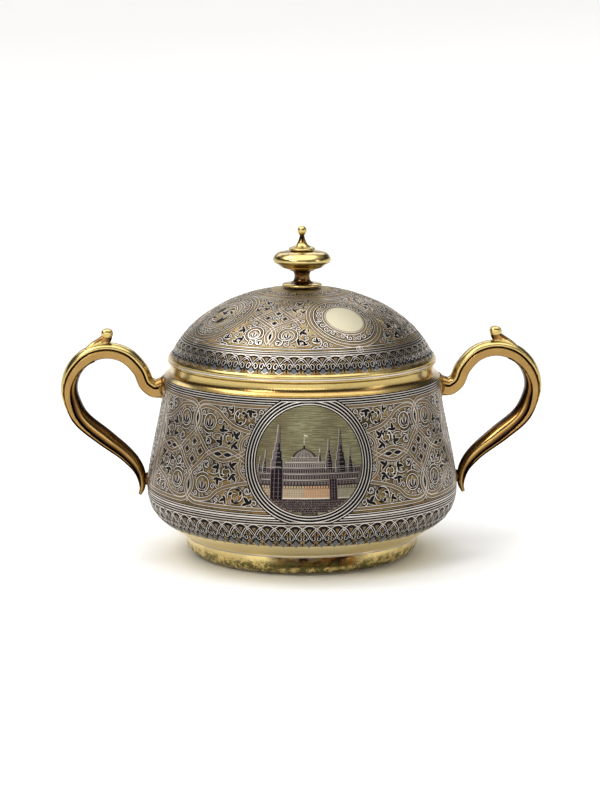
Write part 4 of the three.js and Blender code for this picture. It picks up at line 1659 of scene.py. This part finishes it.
def cover_half():
    """From a medallion's axis to the axis of the knot beside it."""
    half_angle = 45 * FAN_SPREAD
    foot = fan_reach(float(DOME.at_height(DOME_FIELD_FOOT)))
    top = fan_reach(rise_at_radius(DOME_FIELD_TOP))
    knot_reach = fan_reach(rise_at_radius(31.7))
    middle = (0, -FAN_MEDALLION)
    knot_drawing = Drawing()
    knot_drawing.strap(smooth([(9.6, 2.4), (7.2, 0), (3.4, -3), (0, -5.9), (-1.5, -9.6), (0, -13.4)]))
    knot_drawing.strap(smooth([(9.6, -2.4), (7.2, 0), (3.4, 3), (0, 6.1), (-1.3, 9), (0, 12)]))
    knot_drawing.diamond((0, 2.9), 1.5)
    knot_drawing.diamond((0, -2.8), 1.5)
    knot_drawing.diamond((3.2, 0), 1.5)
    knot_drawing.lobe((0, -9.6), 2.0, 0.6, 90)
    knot_drawing.rosette((6.4, -8.3), 2.3)
    knot_drawing.stem(arc((6.4, -8.3), 3.6, -60, 200))
    for base, heading, size, way in (
        ((10.8, -5.4), -40, 2.8, 1), ((10.6, -10.6), 40, 2.6, -1), ((13.4, -11.3), 100, 2.2, 1),
        ((5.0, 5.4), 60, 2.4, -1), ((8.2, 5.0), 40, 2.2, 1),
    ):
        knot_drawing.palmette(base, heading, size, way)
    turn = math.radians(half_angle)
    knot_place = (-knot_reach * math.sin(turn), -knot_reach * math.cos(turn))
    half = knot_drawing.moved(knot_place, -half_angle)
    frame_ring = fence(circle(middle, 13.4), 2.6, closed=True)
    border = [fence(fan_arc(reach, -half_angle - 4, 0), 0.8) for reach in (foot, top)]
    mirrored = knot_drawing.mirrored().moved(knot_place, -half_angle)

    def inside(spots):
        turn = np.degrees(np.arctan2(spots[:, 0], -spots[:, 1]))
        reach = np.hypot(*spots.T)
        clear = np.hypot(spots[:, 0], spots[:, 1] + FAN_MEDALLION) > 14.4
        return (turn > -half_angle + 0.3) & (turn < 0) & (reach < foot) & (reach > top) & clear

    axis_wall = fence([(0, -top), (0, -foot)], 0.1)
    also = [frame_ring, axis_wall, *border, *mirrored.strokes]
    half.fill(inside, (-40, -foot), (0, 0), 21, also=also)
    return half


def cover_medallion(plain):
    """The frame, a ring of scrolls, and a plain disc or a large spiral in the middle."""
    drawing = Drawing()
    drawing.strap(circle((0, 0), 13.4), closed=True, width=2.1)
    drawing.stem(circle((0, 0), 11.5), closed=True)
    drawing.strap(circle((0, 0), 7.8), closed=True, width=1.7)
    if not plain:
        drawing.leafy_spiral((0, 0), 5.7, 30, 1, leaves=(20, 100, 180, 260, 340))
        drawing.palmette((0, 0), 60, 3.0, 1)

    def inside(spots):
        reach = np.hypot(*spots.T)
        return (reach < 11.2) & (reach > (8.4 if plain else 0))

    drawing.fill(inside, (-12, -12), (12, 12), 22, largest=1.35)
    knot_ring = (0, -14.9)
    drawing.stem(circle(knot_ring, 1.3, 0.4), closed=True)
    drawing.diamond(knot_ring, 0.6)
    return drawing.moved((0, -FAN_MEDALLION))


def make_cover_ornament():
    half = cover_half()
    field = Inlay(DOME)
    for quarter in range(4):
        for flip in (False, True):
            half.lay(field, fan_place(quarter, flip), flip)
    field.pieces("cover_field", "lid")
    rounds = Inlay(DOME)
    for quarter in range(4):
        cover_medallion(quarter == 0).lay(rounds, fan_place(quarter, False))
    rounds.pieces("cover_medallions", "lid")

    def disc_place(drawing):
        return fan_place(0, False)(drawing + np.array((0, -FAN_MEDALLION)))

    disc = plate("cover_plain_disc", DOME, disc_place, 6.95, 0.12, DISC)
    settle(disc, "lid", "satin_gilt")
    lines = Inlay(DOME)
    for height in (81.35, 82.0, 82.65, 83.6):
        add_ring(lines, DOME.at_height(height), dark=0.85)
    for radius in (19.3, 18.4, 16.2):
        add_ring(lines, rise_at_radius(radius), dark=0.8, steps=160)
    crown(lines)
    lines.pieces("cover_border", "lid")


def crown(inlay):
    """Little scrolls and leaves round the foot of the finial."""
    count = 20
    curl = Drawing()
    curl.stem(spiral((0, 0), 1.35, 0.35, 90, 340))
    curl.leaf(sweep((1.6, -1.2), 80, 40, 2.6), 1.0)
    curl.leaf(sweep((-0.6, 1.9), 20, 60, 1.8), 0.8)
    radius = 13.6
    for number in range(count):
        curl.lay(inlay, ring_place(radius, rise_at_radius(radius), number * TAU / count))


# ---------------------------------------------------------------- camera, light and floor


def make_floor():
    """A pale floor that rises gently far away on every side, so that it is the backdrop too."""
    flat, edge, height = 1500, 5200, 1150
    share = np.linspace(0, 1, 30)
    slope = np.stack([flat + (edge - flat) * share, height * share**1.7], axis=1)
    under = [(edge + 40, height), (edge, height - 60), (flat, -40), (0, -40)]
    profile = np.vstack([[(0, 0), (500, 0)], slope, under])
    floor = lathe("studio_floor", profile, [floor_material()], steps=128, sharp=80)


def floor_material():
    nodes = Nodes("pale_floor")
    colour = nodes.mix(nodes.noise(3, 2), (0.90, 0.90, 0.90), (0.93, 0.93, 0.92))
    return nodes.finish(colour, 0.75, metallic=0.0)


def make_camera():
    target = Vector((0, 0, 57.5)) * MM
    distance = 936.5 * MM
    pitch = math.radians(10.2)
    azimuth = math.radians(-2.7)
    away = Vector((
        math.sin(azimuth) * math.cos(pitch), -math.cos(azimuth) * math.cos(pitch), math.sin(pitch),
    ))
    data = bpy.data.cameras.new("camera")
    data.lens = 112.5
    data.sensor_width = 36
    data.shift_x = -0.0025
    camera = bpy.data.objects.new("camera", data)
    camera.location = target + away * distance
    camera.rotation_euler = (-away).to_track_quat("-Z", "Y").to_euler()
    bpy.context.scene.collection.objects.link(camera)
    bpy.context.scene.camera = camera


def make_lamp(name, place, size, power, colour=(1, 1, 1)):
    data = bpy.data.lights.new(name, "AREA")
    data.shape = "RECTANGLE"
    data.size, data.size_y = size
    data.energy = power
    data.color = colour
    lamp = bpy.data.objects.new(name, data)
    lamp.location = place
    lamp.visible_camera = False
    lamp.rotation_euler = (Vector((0, 0, 0.06)) - Vector(place)).to_track_quat("-Z", "Y").to_euler()
    bpy.context.scene.collection.objects.link(lamp)


def make_world():
    """A room that is bright overhead and dim above the floor's edge, for the metal to reflect."""
    world = bpy.data.worlds.new("studio")
    bpy.context.scene.world = world
    world.use_nodes = True
    tree = world.node_tree
    place = tree.nodes.new("ShaderNodeTexCoord").outputs["Generated"]
    split = tree.nodes.new("ShaderNodeSeparateXYZ")
    tree.links.new(place, split.inputs["Vector"])
    ramp = tree.nodes.new("ShaderNodeValToRGB")
    stops = [(0.0, 0.9), (0.18, 0.9), (0.26, 0.10), (0.52, 0.05), (0.66, 0.35), (0.85, 1.0)]
    elements = ramp.color_ramp.elements
    while len(elements) < len(stops):
        elements.new(0.5)
    for element, (at, grey) in zip(elements, stops):
        element.position = at
        element.color = (grey, 0.98 * grey, 0.95 * grey, 1)
    tree.links.new(split.outputs["Z"], ramp.inputs["Fac"])
    background = tree.nodes["Background"]
    tree.links.new(ramp.outputs["Color"], background.inputs["Color"])
    background.inputs["Strength"].default_value = 0.85


def make_sun(strength, angle):
    """Soft light from straight above, the same all over the floor."""
    data = bpy.data.lights.new("sky_light", "SUN")
    data.energy = strength
    data.angle = math.radians(angle)
    sun = bpy.data.objects.new("sky_light", data)
    bpy.context.scene.collection.objects.link(sun)


def make_studio():
    make_floor()
    make_camera()
    make_world()
    make_sun(1.58, 70)
    make_lamp("key", (-0.9, -1.0, 1.1), (0.5, 0.5), 8.5, (1, 0.98, 0.95))
    make_lamp("fill", (1.3, -0.6, 0.7), (0.3, 0.8), 2)
    make_lamp("low_front", (-0.2, -1.6, 0.3), (1.4, 0.3), 3.2)
    make_lamp("overhead", (-0.8, 0.1, 1.3), (0.7, 0.7), 4.5)
    make_lamp("behind", (-0.2, 1.5, 1.0), (1.8, 0.5), 6)
    bpy.context.scene.view_settings.view_transform = "Standard"
    bpy.context.scene.cycles.use_denoising = True


# ---------------------------------------------------------------- everything

make_studio()
make_body()
make_foot()
make_neck()
make_rim()
make_bezel()
make_dome()
make_finial()
make_fastener()
for handle_side, handle_sign in (("right", 1), ("left", -1)):
    make_handle(handle_side, handle_sign)
make_body_ornament()
make_medallions()
make_cover_ornament()
make_band("body_band", BODY, "bowl", 13.4, 21.0, 72, curl_at=0.56, stretch=1.25)
make_band("cover_band", DOME, "lid", 75.35, 80.5, 58, curl_at=0.44, stretch=1.35)
